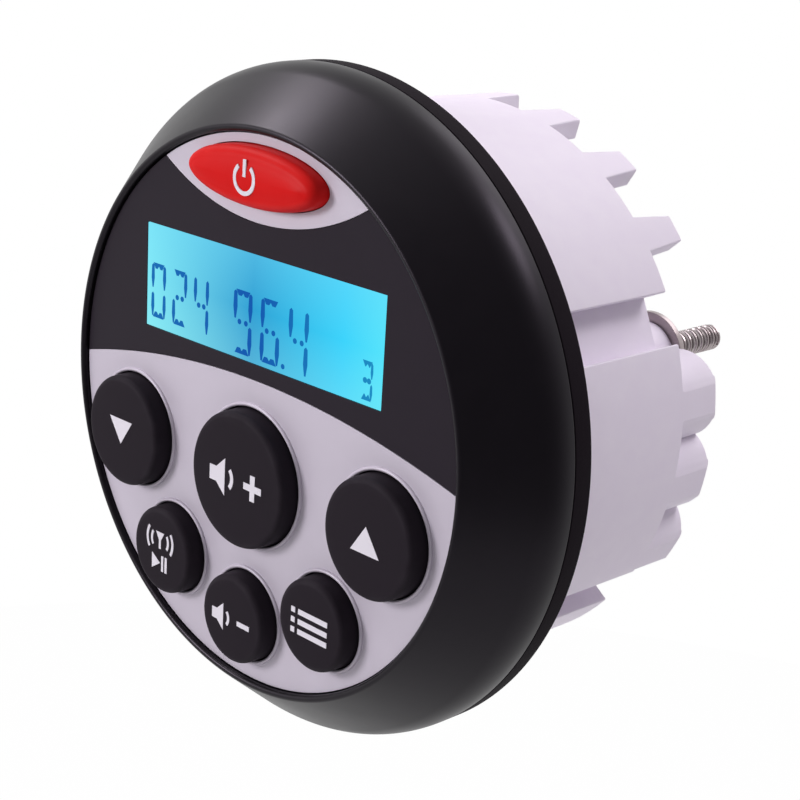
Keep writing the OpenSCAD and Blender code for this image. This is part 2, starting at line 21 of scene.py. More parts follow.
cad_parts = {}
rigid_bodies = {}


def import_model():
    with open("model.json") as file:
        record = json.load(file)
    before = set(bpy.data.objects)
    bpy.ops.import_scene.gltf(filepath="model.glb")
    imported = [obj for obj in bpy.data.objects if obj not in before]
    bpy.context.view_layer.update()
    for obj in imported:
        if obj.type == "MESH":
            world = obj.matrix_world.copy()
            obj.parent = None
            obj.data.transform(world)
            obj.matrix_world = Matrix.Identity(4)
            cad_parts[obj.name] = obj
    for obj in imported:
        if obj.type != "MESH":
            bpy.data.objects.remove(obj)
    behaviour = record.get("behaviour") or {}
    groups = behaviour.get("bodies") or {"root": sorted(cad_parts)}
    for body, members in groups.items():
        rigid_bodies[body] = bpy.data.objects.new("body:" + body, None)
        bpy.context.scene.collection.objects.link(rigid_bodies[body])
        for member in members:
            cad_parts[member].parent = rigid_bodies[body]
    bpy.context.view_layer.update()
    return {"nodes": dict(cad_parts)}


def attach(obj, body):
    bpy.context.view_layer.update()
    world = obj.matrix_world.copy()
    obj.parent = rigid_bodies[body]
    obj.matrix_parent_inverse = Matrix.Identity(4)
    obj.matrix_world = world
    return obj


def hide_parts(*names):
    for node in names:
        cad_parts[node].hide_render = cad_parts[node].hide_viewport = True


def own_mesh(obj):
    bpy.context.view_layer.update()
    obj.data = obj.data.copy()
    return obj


LOG = logging.getLogger("marine_stereo")
MM = 0.001
CHASSIS = "chassis"

Point = tuple[float, float]
Place = tuple[float, float, float]
Outline = list[Point]
Tint = tuple[float, float, float]


class KeyName(Enum):
    """The keys of the stereo, by the name that their nodes start with."""

    POWER = "power"
    VOLUME_UP = "volume_up"
    VOLUME_DOWN = "volume_down"
    SEEK_UP = "seek_up"
    SEEK_DOWN = "seek_down"
    PLAY = "play"
    MODE = "mode"

    @property
    def node(self) -> str:
        """Name of the key's solid."""
        return f"{self.value}_button"

    @property
    def dome(self) -> str:
        """Name of the rubber dome under the key."""
        return f"{self.value}_dome"

    @property
    def body(self) -> str:
        """Name of the moving body that the key is."""
        return f"{self.value}_key"

    @property
    def joint(self) -> str:
        """Name of the joint that the key slides on."""
        return f"{self.value}_press"


@dataclass(frozen=True)
class Sizes:
    """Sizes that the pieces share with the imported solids, in millimetres."""

    face_r: float = 40.0
    opening_r: float = 40.05
    film_r: float = 39.85
    bezel_r: float = 49.0
    gasket_r: float = 43.0
    bore_r: float = 42.1
    ledge_r: float = 38.6
    y_key: float = -18.5
    y_face: float = -15.3
    y_plate: float = -15.0
    y_plate_back: float = -12.8
    y_flange: float = -12.65
    y_flange_back: float = -11.45
    y_dome: float = -11.35
    y_membrane: float = -9.6
    y_shelf: float = -7.3
    y_rim: float = -3.3
    y_wall: float = 25.5
    y_root: float = 27.7
    y_nut_back: float = 38.9
    stud_root: float = 26.7
    stud_end: float = 51.6
    stud_pitch_r: float = 30.2
    stud_angles: tuple[float, float] = (73.5, 253.5)
    channel_angles: tuple[float, ...] = (66.0, 126.0, 246.0, 306.0)
    screw_pitch_r: float = 40.0
    window_w: float = 50.4
    window_h: float = 15.44
    window_z: float = 15.5
    key_gap: float = 0.3
    power_w: float = 27.0
    power_h: float = 8.4
    power_z: float = 34.25
    silver_top: float = 5.4
    silver_drop: float = 5.16
    eye_low: float = 27.7
    eye_r: float = 40.5
    grommet_z: float = -14.0
    grommet_bore: float = 3.2
    grommet_r: float = 8.0
    grommet_waist: float = 5.9
    grommet_lip: float = 2.0


SIZES = Sizes()


def clock(angle: float, radius: float) -> Point:
    """Return X and Z of a place at a clock angle from the top and a distance from the axis."""
    turn = math.radians(angle)
    return radius * math.sin(turn), radius * math.cos(turn)


def linear(tint: Tint) -> tuple[float, float, float, float]:
    """Turn a screen colour into a linear one.

    Args:
        tint: red, green and blue from 0 to 255.

    Returns:
        Red, green, blue and alpha for a colour socket.
    """
    def channel(value: float) -> float:
        """Undo the screen's curve for one channel."""
        part = value / 255.0
        return part / 12.92 if part <= 0.04045 else ((part + 0.055) / 1.055) ** 2.4

    return channel(tint[0]), channel(tint[1]), channel(tint[2]), 1.0


def arc(centre: Point, radius: float, start: float, stop: float, steps: int) -> Outline:
    """Return points on an arc.

    Args:
        centre: centre of the arc.
        radius: its radius.
        start: first angle in degrees.
        stop: last angle in degrees.
        steps: number of chords.

    Returns:
        The points, both ends included.
    """
    turns = [math.radians(start + (stop - start) * i / steps) for i in range(steps + 1)]
    return [(centre[0] + radius * math.cos(t), centre[1] + radius * math.sin(t)) for t in turns]


def circle(centre: Point, radius: float, steps: int = 96) -> Outline:
    """Return a closed circle as points."""
    return arc(centre, radius, 0.0, 360.0 * (steps - 1) / steps, steps - 1)


def ellipse(centre: Point, width: float, height: float, steps: int = 128) -> Outline:
    """Return a closed ellipse as points."""
    turns = [2.0 * math.pi * i / steps for i in range(steps)]
    return [(centre[0] + width / 2 * math.cos(t), centre[1] + height / 2 * math.sin(t)) for t in turns]


def moved(outline: Iterable[Point], dx: float, dz: float, scale: float = 1.0) -> Outline:
    """Return an outline scaled about the origin and then moved."""
    return [(x * scale + dx, z * scale + dz) for x, z in outline]


def bar(centre: Point, width: float, height: float) -> Outline:
    """Return a rectangle as points.

    Args:
        centre: its middle.
        width: its width.
        height: its height.

    Returns:
        The four corners.
    """
    x, z = centre
    w, h = width / 2, height / 2
    return [(x - w, z - h), (x + w, z - h), (x + w, z + h), (x - w, z + h)]


def rounded(corners: Sequence[tuple[float, float, float]], steps: int = 8) -> Outline:
    """Round the corners of a closed outline.

    Args:
        corners: the two coordinates of each corner and its radius, 0 for a sharp one.
        steps: chords in each rounded corner.

    Returns:
        The outline's points.
    """
    points: Outline = []
    count = len(corners)
    for i, (x, z, radius) in enumerate(corners):
        if radius <= 0.0:
            points.append((x, z))
            continue
        here = Vector((x, z))
        before = (Vector(corners[i - 1][:2]) - here).normalized()
        after = (Vector(corners[(i + 1) % count][:2]) - here).normalized()
        half = before.angle(after) / 2.0
        centre = here + (before + after).normalized() * (radius / math.sin(half))
        first = here + before * (radius / math.tan(half)) - centre
        sweep = first.angle_signed(here + after * (radius / math.tan(half)) - centre)
        for k in range(steps + 1):
            turned = Matrix.Rotation(-sweep * k / steps, 2) @ first
            points.append((centre.x + turned.x, centre.y + turned.y))
    return points


class MeshKit:
    """Ways to make the meshes of this part, from sizes in millimetres; limits are in metres and degrees."""

    SHARP = 38.0
    FILM_SHARP = 10.0
    AXIS_R = 1e-6
    SEAM_M = 1e-7
    WELD_M = 2e-5
    FOLD_ANGLE = 170.0
    FOLD_M = 3.5e-4
    FLAT_ANGLE = 0.6
    ROUND_ABOVE = 50.0
    ROUND_TRIES = 6
    PLAIN_REACH = 4.0
    TINY_M2 = 1e-10
    AGAINST = -0.2
    WORN_BEND = 32.0

    @staticmethod
    def link(name: str, mesh: bpy.types.Mesh) -> bpy.types.Object:
        """Put a mesh in the scene as an object at the origin.

        Args:
            name: name of the object.
            mesh: its mesh.

        Returns:
            The object.
        """
        piece = bpy.data.objects.new(name, mesh)
        bpy.context.scene.collection.objects.link(piece)
        return piece

    @staticmethod
    def smooth(mesh: bpy.types.Mesh, angle: float) -> None:
        """Shade a mesh smooth, with sharp edges above an angle in degrees."""
        mesh.shade_smooth()
        mesh.set_sharp_from_angle(angle=math.radians(angle))

    @staticmethod
    def closed(name: str, bm: bmesh.types.BMesh) -> bpy.types.Object:
        """Turn the faces of a new mesh outwards and put it in the scene.

        Args:
            name: name of the piece.
            bm: the mesh, which is freed.

        Returns:
            The new piece.
        """
        bmesh.ops.recalc_face_normals(bm, faces=bm.faces)
        mesh = bpy.data.meshes.new(name)
        bm.to_mesh(mesh)
        bm.free()
        MeshKit.smooth(mesh, MeshKit.SHARP)
        return MeshKit.link(name, mesh)

    @staticmethod
    def merge(piece: bpy.types.Object, other: bpy.types.Object) -> None:
        """Add another piece's mesh to a piece and remove the other.

        Args:
            piece: the piece that stays.
            other: the piece whose mesh goes into it.
        """
        bm = bmesh.new()
        bm.from_mesh(piece.data)
        bm.from_mesh(other.data)
        bm.to_mesh(piece.data)
        bm.free()
        bpy.data.objects.remove(other)
        MeshKit.smooth(piece.data, MeshKit.SHARP)

    @staticmethod
    def lathe(name: str, profile: Sequence[Point], segments: int, at: Point = (0.0, 0.0),
              ring: bool = False) -> bpy.types.Object:
        """Turn a profile about an axis along Y.

        Args:
            name: name of the piece.
            profile: points of radius and Y, in millimetres.
            segments: steps round the axis.
            at: X and Z of the axis, in millimetres.
            ring: True where the profile closes on itself.

        Returns:
            The new piece.
        """
        bm = bmesh.new()
        rows: list[list[bmesh.types.BMVert]] = []
        for radius, y in profile:
            if radius < MeshKit.AXIS_R:
                rows.append([bm.verts.new((at[0] * MM, y * MM, at[1] * MM))])
                continue
            row = []
            for i in range(segments):
                turn = 2.0 * math.pi * i / segments
                x, z = at[0] + radius * math.sin(turn), at[1] + radius * math.cos(turn)
                row.append(bm.verts.new((x * MM, y * MM, z * MM)))
            rows.append(row)
        pairs = list(zip(rows, rows[1:]))
        if ring:
            pairs.append((rows[-1], rows[0]))
        for low, high in pairs:
            for i in range(segments):
                j = (i + 1) % segments
                corners = [low[i % len(low)], low[j % len(low)], high[j % len(high)], high[i % len(high)]]
                unique = list(dict.fromkeys(corners))
                if len(unique) > 2:
                    bm.faces.new(unique)
        return MeshKit.closed(name, bm)

    @staticmethod
    def loft(name: str, rings: Sequence[tuple[Outline, float]]) -> bpy.types.Object:
        """Join closed outlines of equal length into a closed piece, front to rear.

        Args:
            name: name of the piece.
            rings: outlines in X and Z with their Y, in millimetres.

        Returns:
            The new piece.
        """
        bm = bmesh.new()
        rows = [[bm.verts.new((x * MM, y * MM, z * MM)) for x, z in outline] for outline, y in rings]
        count = len(rows[0])
        for low, high in zip(rows, rows[1:]):
            for i in range(count):
                j = (i + 1) % count
                bm.faces.new((low[i], low[j], high[j], high[i]))
        bm.faces.new(rows[0])
        bm.faces.new(rows[-1])
        return MeshKit.closed(name, bm)

    @staticmethod
    def flat(name: str, outlines: Sequence[Outline], front: float, rear: float,
             edge: float = 0.0) -> bpy.types.Object:
        """Fill outlines, the inner ones as holes, to a plate between two planes.

        Args:
            name: name of the piece.
            outlines: closed outlines in X and Z, in millimetres.
            front: Y of the front face.
            rear: Y of the rear face.
            edge: width of the rounded edge.

        Returns:
            The new piece.
        """
        curve = bpy.data.curves.new(name, "CURVE")
        curve.dimensions = "2D"
        curve.fill_mode = "BOTH"
        curve.extrude = ((rear - front) / 2 - edge) * MM
        curve.bevel_depth = edge * MM
        curve.bevel_resolution = 2
        curve.offset = -edge * MM
        for outline in outlines:
            spline = curve.splines.new("POLY")
            spline.points.add(len(outline) - 1)
            for point, (x, z) in zip(spline.points, outline):
                point.co = (x * MM, z * MM, 0.0, 1.0)
            spline.use_cyclic_u = True
        source = bpy.data.objects.new(name + "_outline", curve)
        bpy.context.scene.collection.objects.link(source)
        mesh = MeshKit.evaluated(source)
        bpy.data.objects.remove(source)
        mesh.name = name
        upright = Matrix.Rotation(math.pi / 2, 4, "X")
        mesh.transform(Matrix.Translation((0.0, (front + rear) / 2 * MM, 0.0)) @ upright)
        bm = bmesh.new()
        bm.from_mesh(mesh)
        bmesh.ops.remove_doubles(bm, verts=bm.verts, dist=MeshKit.SEAM_M)
        bmesh.ops.recalc_face_normals(bm, faces=bm.faces)
        bm.to_mesh(mesh)
        bm.free()
        MeshKit.smooth(mesh, MeshKit.FILM_SHARP)
        return MeshKit.link(name, mesh)

    @staticmethod
    def evaluated(piece: bpy.types.Object) -> bpy.types.Mesh:
        """Return what an object looks like with its modifiers as a plain mesh.

        Args:
            piece: the object.

        Returns:
            The new mesh.
        """
        graph = bpy.context.evaluated_depsgraph_get()
        graph.update()
        return bpy.data.meshes.new_from_object(piece.evaluated_get(graph), depsgraph=graph)

    @staticmethod
    def bake(piece: bpy.types.Object) -> bpy.types.Object:
        """Make a piece's modifiers part of its mesh.

        Args:
            piece: the piece.

        Returns:
            The same piece.
        """
        mesh = MeshKit.evaluated(piece)
        piece.modifiers.clear()
        piece.data = mesh
        return piece

    @staticmethod
    def softened(name: str, node: bpy.types.Object, width: float) -> bpy.types.Object:
        """Copy a solid and round its outer edges, except where the rounding doesn't fit.

        Args:
            name: name of the new piece.
            node: the solid's object.
            width: width of the rounded edges, in millimetres.

        Returns:
            The new piece.
        """
        bm = bmesh.new()
        bm.from_mesh(node.data)
        solid = BVHTree.FromBMesh(bm)
        bm.free()
        plain: list[Vector] = []
        piece = MeshKit.rounded_copy(name, node, width, plain)
        for _ in range(MeshKit.ROUND_TRIES):
            misfits = MeshKit.misfits(piece, solid, width)
            LOG.info("%s: %d faces don't fit", name, len(misfits))
            if not misfits:
                break
            plain += misfits
            bpy.data.objects.remove(piece)
            piece = MeshKit.rounded_copy(name, node, width, plain)
        MeshKit.smooth(piece.data, MeshKit.ROUND_ABOVE)
        even = piece.modifiers.new("even_shading", "WEIGHTED_NORMAL")
        even.mode = "FACE_AREA"
        even.keep_sharp = True
        return MeshKit.bake(piece)

    @staticmethod
    def rounded_copy(name: str, node: bpy.types.Object, width: float,
                     plain: Sequence[Vector]) -> bpy.types.Object:
        """Copy a solid with its outer edges rounded.

        Args:
            name: name of the new piece.
            node: the solid's object.
            width: width of the rounded edges, in millimetres.
            plain: places near which the edges stay as they are.

        Returns:
            The new piece.
        """
        mesh = node.data.copy()
        mesh.name = name
        mesh.materials.clear()
        bm = bmesh.new()
        bm.from_mesh(mesh)
        bmesh.ops.remove_doubles(bm, verts=bm.verts, dist=MeshKit.WELD_M)
        folds = [e for e in bm.edges if e.calc_face_angle(0.0) > math.radians(MeshKit.FOLD_ANGLE)]
        folded = list(dict.fromkeys(v for e in folds for v in e.verts))
        bmesh.ops.remove_doubles(bm, verts=folded, dist=MeshKit.FOLD_M)
        flat = math.radians(MeshKit.FLAT_ANGLE)
        bmesh.ops.dissolve_limit(bm, angle_limit=flat, verts=bm.verts, edges=bm.edges)
        weight = bm.edges.layers.float.new("bevel_weight_edge")
        reach = MeshKit.PLAIN_REACH * width * MM
        for edge in bm.edges:
            bend = edge.calc_face_angle_signed(0.0) if len(edge.link_faces) == 2 else 0.0
            ends = [v.co for v in edge.verts]
            clear = all((end - spot).length > reach for end in ends for spot in plain)
            edge[weight] = 1.0 if clear and math.degrees(bend) > MeshKit.ROUND_ABOVE else 0.0
        bm.to_mesh(mesh)
        bm.free()
        for custom in [a for a in mesh.attributes if a.name == "custom_normal"]:
            mesh.attributes.remove(custom)
        mesh.shade_smooth()
        piece = MeshKit.link(name, mesh)
        bevel = piece.modifiers.new("rounded_edges", "BEVEL")
        bevel.width = width * MM
        bevel.segments = 2
        bevel.limit_method = "WEIGHT"
        bevel.use_clamp_overlap = False
        bevel.harden_normals = False
        return MeshKit.bake(piece)

    @staticmethod
    def misfits(piece: bpy.types.Object, solid: BVHTree, width: float) -> list[Vector]:
        """Return the middles of faces that turn against a solid's surface or leave it.

        Args:
            piece: the rounded copy.
            solid: the solid's surface.
            width: how far a face may stand off, in millimetres.

        Returns:
            The middle of each such face.
        """
        bm = bmesh.new()
        bm.from_mesh(piece.data)
        bmesh.ops.triangulate(bm, faces=bm.faces)
        found = []
        for face in bm.faces:
            middle = face.calc_center_median()
            _, normal, _, gap = solid.find_nearest(middle)
            against = face.calc_area() > MeshKit.TINY_M2 and face.normal.dot(normal) < MeshKit.AGAINST
            if against or gap > width * MM:
                found.append(middle)
        bm.free()
        return found

    @staticmethod
    def mark_edges(piece: bpy.types.Object) -> None:
        """Store on each point how strongly the surface bends outwards there, from 0 to 1, as "edge".

        Args:
            piece: the piece to mark.
        """
        mesh = piece.data
        bm = bmesh.new()
        bm.from_mesh(mesh)
        bm.verts.ensure_lookup_table()
        values = []
        for vert in bm.verts:
            edges = [e for e in vert.link_edges if len(e.link_faces) == 2]
            bends = [math.degrees(e.calc_face_angle_signed(0.0)) for e in edges]
            values.append(min(1.0, max([0.0, *bends]) / MeshKit.WORN_BEND))
        bm.free()
        layer = mesh.attributes.get("edge") or mesh.attributes.new("edge", "FLOAT", "POINT")
        layer.data.foreach_set("value", values)


class NodeKit:
    """Small helpers that place and join nodes."""

    def __init__(self, tree: bpy.types.NodeTree) -> None:
        """Keep the tree that the nodes go into."""
        self.tree = tree

    @classmethod
    def blank(cls, owner: bpy.types.Material | bpy.types.World) -> NodeKit:
        """Clear the nodes of a material or a world.

        Args:
            owner: the material or the world.
        """
        owner.use_nodes = True
        owner.node_tree.nodes.clear()
        return cls(owner.node_tree)

    def add(self, kind: str, **settings: object) -> bpy.types.Node:
        """Place a node and set its own properties.

        Args:
            kind: type of the node.
            settings: its properties by name.

        Returns:
            The node.
        """
        node = self.tree.nodes.new(kind)
        for name, value in settings.items():
            setattr(node, name, value)
        return node

    def join(self, source: bpy.types.NodeSocket, target: bpy.types.NodeSocket) -> None:
        """Link two sockets."""
        self.tree.links.new(source, target)

    def feed(self, socket: bpy.types.NodeSocket, value: object) -> None:
        """Link a socket to another one, or set it to a plain value.

        Args:
            socket: the input to feed.
            value: a socket or a plain value.
        """
        if isinstance(value, bpy.types.NodeSocket):
            self.join(value, socket)
        else:
            socket.default_value = value

    def math(self, operation: str, *values: object, clamp: bool = False) -> bpy.types.NodeSocket:
        """Place a Math node and return its output.

        Args:
            operation: the node's operation.
            values: a socket or a number for each input.
            clamp: True to keep the result from 0 to 1.

        Returns:
            The output socket.
        """
        node = self.add("ShaderNodeMath", operation=operation, use_clamp=clamp)
        for socket, value in zip(node.inputs, values):
            self.feed(socket, value)
        return node.outputs[0]

    def noise(self, place: bpy.types.NodeSocket, scale: object, detail: float,
              roughness: float = 0.5) -> bpy.types.NodeSocket:
        """Place a Noise Texture and return its value.

        Args:
            place: where the noise is read.
            scale: its scale, a socket or a number.
            detail: its detail.
            roughness: how strong the fine detail is.

        Returns:
            The value from 0 to 1.
        """
        node = self.add("ShaderNodeTexNoise")
        node.inputs["Detail"].default_value = detail
        node.inputs["Roughness"].default_value = roughness
        self.join(place, node.inputs["Vector"])
        self.feed(node.inputs["Scale"], scale)
        return node.outputs["Fac"]

    def mix(self, factor: object, first: object, second: object) -> bpy.types.NodeSocket:
        """Place a colour Mix node and return its output.

        Args:
            factor: a socket or a number.
            first: a socket or a colour.
            second: a socket or a colour.

        Returns:
            The output socket.
        """
        node = self.add("ShaderNodeMix", data_type="RGBA")
        for place, value in ((0, factor), (6, first), (7, second)):
            self.feed(node.inputs[place], value)
        return node.outputs[2]


class Effects:
    """Shader node groups that several finishes share."""

    PATCH_SCALE = 0.06
    PATCH_SHARE = 0.7

    @staticmethod
    def group(name: str, inputs: Sequence[tuple[str, str, object]], outputs: Sequence[tuple[str, str]],
              fill: Callable[[NodeKit, bpy.types.Node, bpy.types.Node], None]) -> bpy.types.NodeTree:
        """Build a group once and return it.

        Args:
            name: name of the group.
            inputs: name, socket type and default of each input.
            outputs: name and socket type of each output.
            fill: function that places the nodes.

        Returns:
            The node group.
        """
        tree = bpy.data.node_groups.get(name)
        if tree is not None:
            return tree
        tree = bpy.data.node_groups.new(name, "ShaderNodeTree")
        for label, kind, default in inputs:
            socket = tree.interface.new_socket(name=label, in_out="INPUT", socket_type=kind)
            if default is not None:
                socket.default_value = default
        for label, kind in outputs:
            tree.interface.new_socket(name=label, in_out="OUTPUT", socket_type=kind)
        kit = NodeKit(tree)
        fill(kit, kit.add("NodeGroupInput"), kit.add("NodeGroupOutput"))
        return tree

    @classmethod
    def grain(cls) -> bpy.types.NodeTree:
        """Build fine surface grain with slow patches: a height and a patch value.

        Returns:
            The node group.
        """
        def fill(kit: NodeKit, given: bpy.types.Node, result: bpy.types.Node) -> None:
            """Place a fine noise for the height and a coarse one for the patches.

            Args:
                kit: the group's nodes.
                given: the group's inputs.
                result: the group's outputs.
            """
            place, scale = given.outputs["Vector"], given.outputs["Scale"]
            fine = kit.noise(place, scale, detail=3.0, roughness=0.6)
            slow = kit.noise(place, kit.math("MULTIPLY", scale, cls.PATCH_SCALE), detail=4.0)
            fine_part = kit.math("MULTIPLY", fine, 1.0 - cls.PATCH_SHARE)
            both = kit.math("ADD", kit.math("MULTIPLY", slow, cls.PATCH_SHARE), fine_part)
            kit.join(fine, result.inputs["Height"])
            kit.join(both, result.inputs["Patch"])

        return cls.group("surface_grain",
                         [("Vector", "NodeSocketVector", None), ("Scale", "NodeSocketFloat", 1500.0)],
                         [("Height", "NodeSocketFloat"), ("Patch", "NodeSocketFloat")], fill)

    @classmethod
    def wear(cls) -> bpy.types.NodeTree:
        """Build rubbed edges: a mask from the piece's edge values, broken up by noise.

        Returns:
            The node group.
        """
        def fill(kit: NodeKit, given: bpy.types.Node, result: bpy.types.Node) -> None:
            """Multiply the stored edge value with a patchy noise.

            Args:
                kit: the group's nodes.
                given: the group's inputs.
                result: the group's outputs.
            """
            edge = kit.add("ShaderNodeAttribute", attribute_name="edge")
            noise = kit.noise(given.outputs["Vector"], 320.0, detail=5.0)
            patchy = kit.math("MULTIPLY_ADD", noise, 2.4, -0.7, clamp=True)
            bare = kit.math("MULTIPLY", edge.outputs["Fac"], patchy)
            kit.join(kit.math("MULTIPLY", bare, given.outputs["Amount"], clamp=True), result.inputs["Mask"])

        return cls.group("rubbed_edges",
                         [("Vector", "NodeSocketVector", None), ("Amount", "NodeSocketFloat", 0.3)],
                         [("Mask", "NodeSocketFloat")], fill)

    @classmethod
    def dust(cls) -> bpy.types.NodeTree:
        """Build light dust on what faces up: a mask from the surface's own direction and noise.

        Returns:
            The node group.
        """
        def fill(kit: NodeKit, given: bpy.types.Node, result: bpy.types.Node) -> None:
            """Keep the upward part of the normal and break it up.

            Args:
                kit: the group's nodes.
                given: the group's inputs.
                result: the group's outputs.
            """
            place = kit.add("ShaderNodeTexCoord")
            parts = kit.add("ShaderNodeSeparateXYZ")
            kit.join(place.outputs["Normal"], parts.inputs[0])
            up = kit.math("MULTIPLY_ADD", parts.outputs["Z"], 1.6, -0.6, clamp=True)
            settled = kit.math("MULTIPLY", up, kit.noise(given.outputs["Vector"], 140.0, detail=6.0))
            mask = kit.math("MULTIPLY", settled, given.outputs["Amount"], clamp=True)
            kit.join(mask, result.inputs["Mask"])

        return cls.group("settled_dust",
                         [("Vector", "NodeSocketVector", None), ("Amount", "NodeSocketFloat", 0.1)],
                         [("Mask", "NodeSocketFloat")], fill)


@dataclass(frozen=True)
class Surface:
    """A named surface, whose material is built the first time that it is asked for."""

    name: str

    def material(self) -> bpy.types.Material:
        """Return the material, which is built only once.

        Returns:
            The material.
        """
        known = bpy.data.materials.get(self.name)
        if known is not None:
            return known
        made = bpy.data.materials.new(self.name)
        kit = NodeKit.blank(made)
        kit.join(self.shader(kit), kit.add("ShaderNodeOutputMaterial").inputs["Surface"])
        return made

    def shader(self, kit: NodeKit) -> bpy.types.NodeSocket:
        """Place the surface's nodes and return its shader; each kind of surface has its own."""
        raise NotImplementedError


@dataclass(frozen=True)
class Finish(Surface):
    """A surface finish: its colour, its gloss, its grain and its wear."""

    tint: Tint
    spread: float = 0.06
    roughness: float = 0.5
    roughness_spread: float = 0.06
    metallic: float = 0.0
    specular: float = 0.5
    specular_tint: Tint = (255.0, 255.0, 255.0)
    coat: float = 0.0
    coat_roughness: float = 0.1
    grain_scale: float = 1500.0
    grain_depth: float = 0.02
    worn_tint: Tint = (150.0, 146.0, 152.0)
    wear: float = 0.0
    dust_tint: Tint = (176.0, 172.0, 168.0)
    dust: float = 0.0

    @staticmethod
    def effect(kit: NodeKit, group: bpy.types.NodeTree, setting: str, value: float) -> bpy.types.Node:
        """Place a shared effect on Object coordinates.

        Args:
            kit: the material's nodes.
            group: the effect's node group.
            setting: name of its one setting.
            value: value of the setting.

        Returns:
            The effect's node.
        """
        node = kit.add("ShaderNodeGroup", node_tree=group)
        node.inputs[setting].default_value = value
        kit.join(kit.add("ShaderNodeTexCoord").outputs["Object"], node.inputs["Vector"])
        return node

    def shader(self, kit: NodeKit) -> bpy.types.NodeSocket:
        """Place the finish's nodes.

        Args:
            kit: the material's nodes.

        Returns:
            The shader.
        """
        grain = self.effect(kit, Effects.grain(), "Scale", self.grain_scale)
        base = linear(self.tint)
        dark = tuple(c * (1.0 - self.spread) for c in base[:3]) + (1.0,)
        light = tuple(min(1.0, c * (1.0 + self.spread)) for c in base[:3]) + (1.0,)
        colour = kit.mix(grain.outputs["Patch"], dark, light)
        if self.wear > 0.0:
            worn = self.effect(kit, Effects.wear(), "Amount", self.wear)
            colour = kit.mix(worn.outputs["Mask"], colour, linear(self.worn_tint))
        if self.dust > 0.0:
            dusty = self.effect(kit, Effects.dust(), "Amount", self.dust)
            colour = kit.mix(dusty.outputs["Mask"], colour, linear(self.dust_tint))
        gloss = kit.math("MULTIPLY_ADD", grain.outputs["Patch"], 2.0 * self.roughness_spread,
                         self.roughness - self.roughness_spread, clamp=True)
        bump = kit.add("ShaderNodeBump")
        bump.inputs["Strength"].default_value = 1.0
        bump.inputs["Distance"].default_value = self.grain_depth * MM
        kit.join(grain.outputs["Height"], bump.inputs["Height"])
        shader = kit.add("ShaderNodeBsdfPrincipled")
        shader.inputs["Metallic"].default_value = self.metallic
        shader.inputs["Specular IOR Level"].default_value = self.specular
        shader.inputs["Specular Tint"].default_value = linear(self.specular_tint)
        shader.inputs["Coat Weight"].default_value = self.coat
        shader.inputs["Coat Roughness"].default_value = self.coat_roughness
        kit.join(colour, shader.inputs["Base Color"])
        kit.join(gloss, shader.inputs["Roughness"])
        kit.join(bump.outputs["Normal"], shader.inputs["Normal"])
        return shader.outputs[0]


Stops = tuple[tuple[float, Tint], ...]


@dataclass(frozen=True)
class LitFinish(Surface):
    """A lit surface of the display: a glow across its width that turns paler towards top and bottom."""

    stops: Stops
    top_tint: Tint = (110.0, 218.0, 248.0)
    top_share: float = 0.0
    low_tint: Tint = (172.0, 250.0, 234.0)
    low_share: float = 0.0
    strength: float = 1.0
    roughness: float = 0.25
    specular: float = 0.03
    unlit_tint: Tint = (8.0, 16.0, 24.0)

    def shader(self, kit: NodeKit) -> bpy.types.NodeSocket:
        """Place the lit finish's nodes.

        Args:
            kit: the material's nodes.

        Returns:
            The shader.
        """
        parts = kit.add("ShaderNodeSeparateXYZ")
        kit.join(kit.add("ShaderNodeTexCoord").outputs["Object"], parts.inputs[0])
        across = kit.math("MULTIPLY_ADD", parts.outputs["X"], 1.0 / (SIZES.window_w * MM), 0.5, clamp=True)
        colour = self.ramp(kit, across)
        half_h = SIZES.window_h / 2.0
        for side, tint, share in ((1.0, self.top_tint, self.top_share),
                                  (-1.0, self.low_tint, self.low_share)):
            if share > 0.0:
                near = kit.math("MULTIPLY_ADD", parts.outputs["Z"], side / (half_h * MM),
                                -side * SIZES.window_z / half_h, clamp=True)
                colour = kit.mix(kit.math("MULTIPLY", near, share), colour, linear(tint))
        shader = kit.add("ShaderNodeBsdfPrincipled")
        shader.inputs["Roughness"].default_value = self.roughness
        shader.inputs["Base Color"].default_value = linear(self.unlit_tint)
        shader.inputs["Specular IOR Level"].default_value = self.specular
        shader.inputs["Emission Strength"].default_value = self.strength
        kit.join(colour, shader.inputs["Emission Color"])
        return shader.outputs[0]

    def ramp(self, kit: NodeKit, across: bpy.types.NodeSocket) -> bpy.types.NodeSocket:
        """Place the colour ramp of the glow.

        Args:
            kit: the material's nodes.
            across: place across the display from 0 to 1.

        Returns:
            The ramp's colour.
        """
        node = kit.add("ShaderNodeValToRGB")
        stops = node.color_ramp.elements
        while len(stops) < len(self.stops):
            stops.new(0.5)
        for stop, (at, tint) in zip(stops, self.stops):
            stop.position = at
            stop.color = linear(tint)
        kit.join(across, node.inputs[0])
        return node.outputs[0]


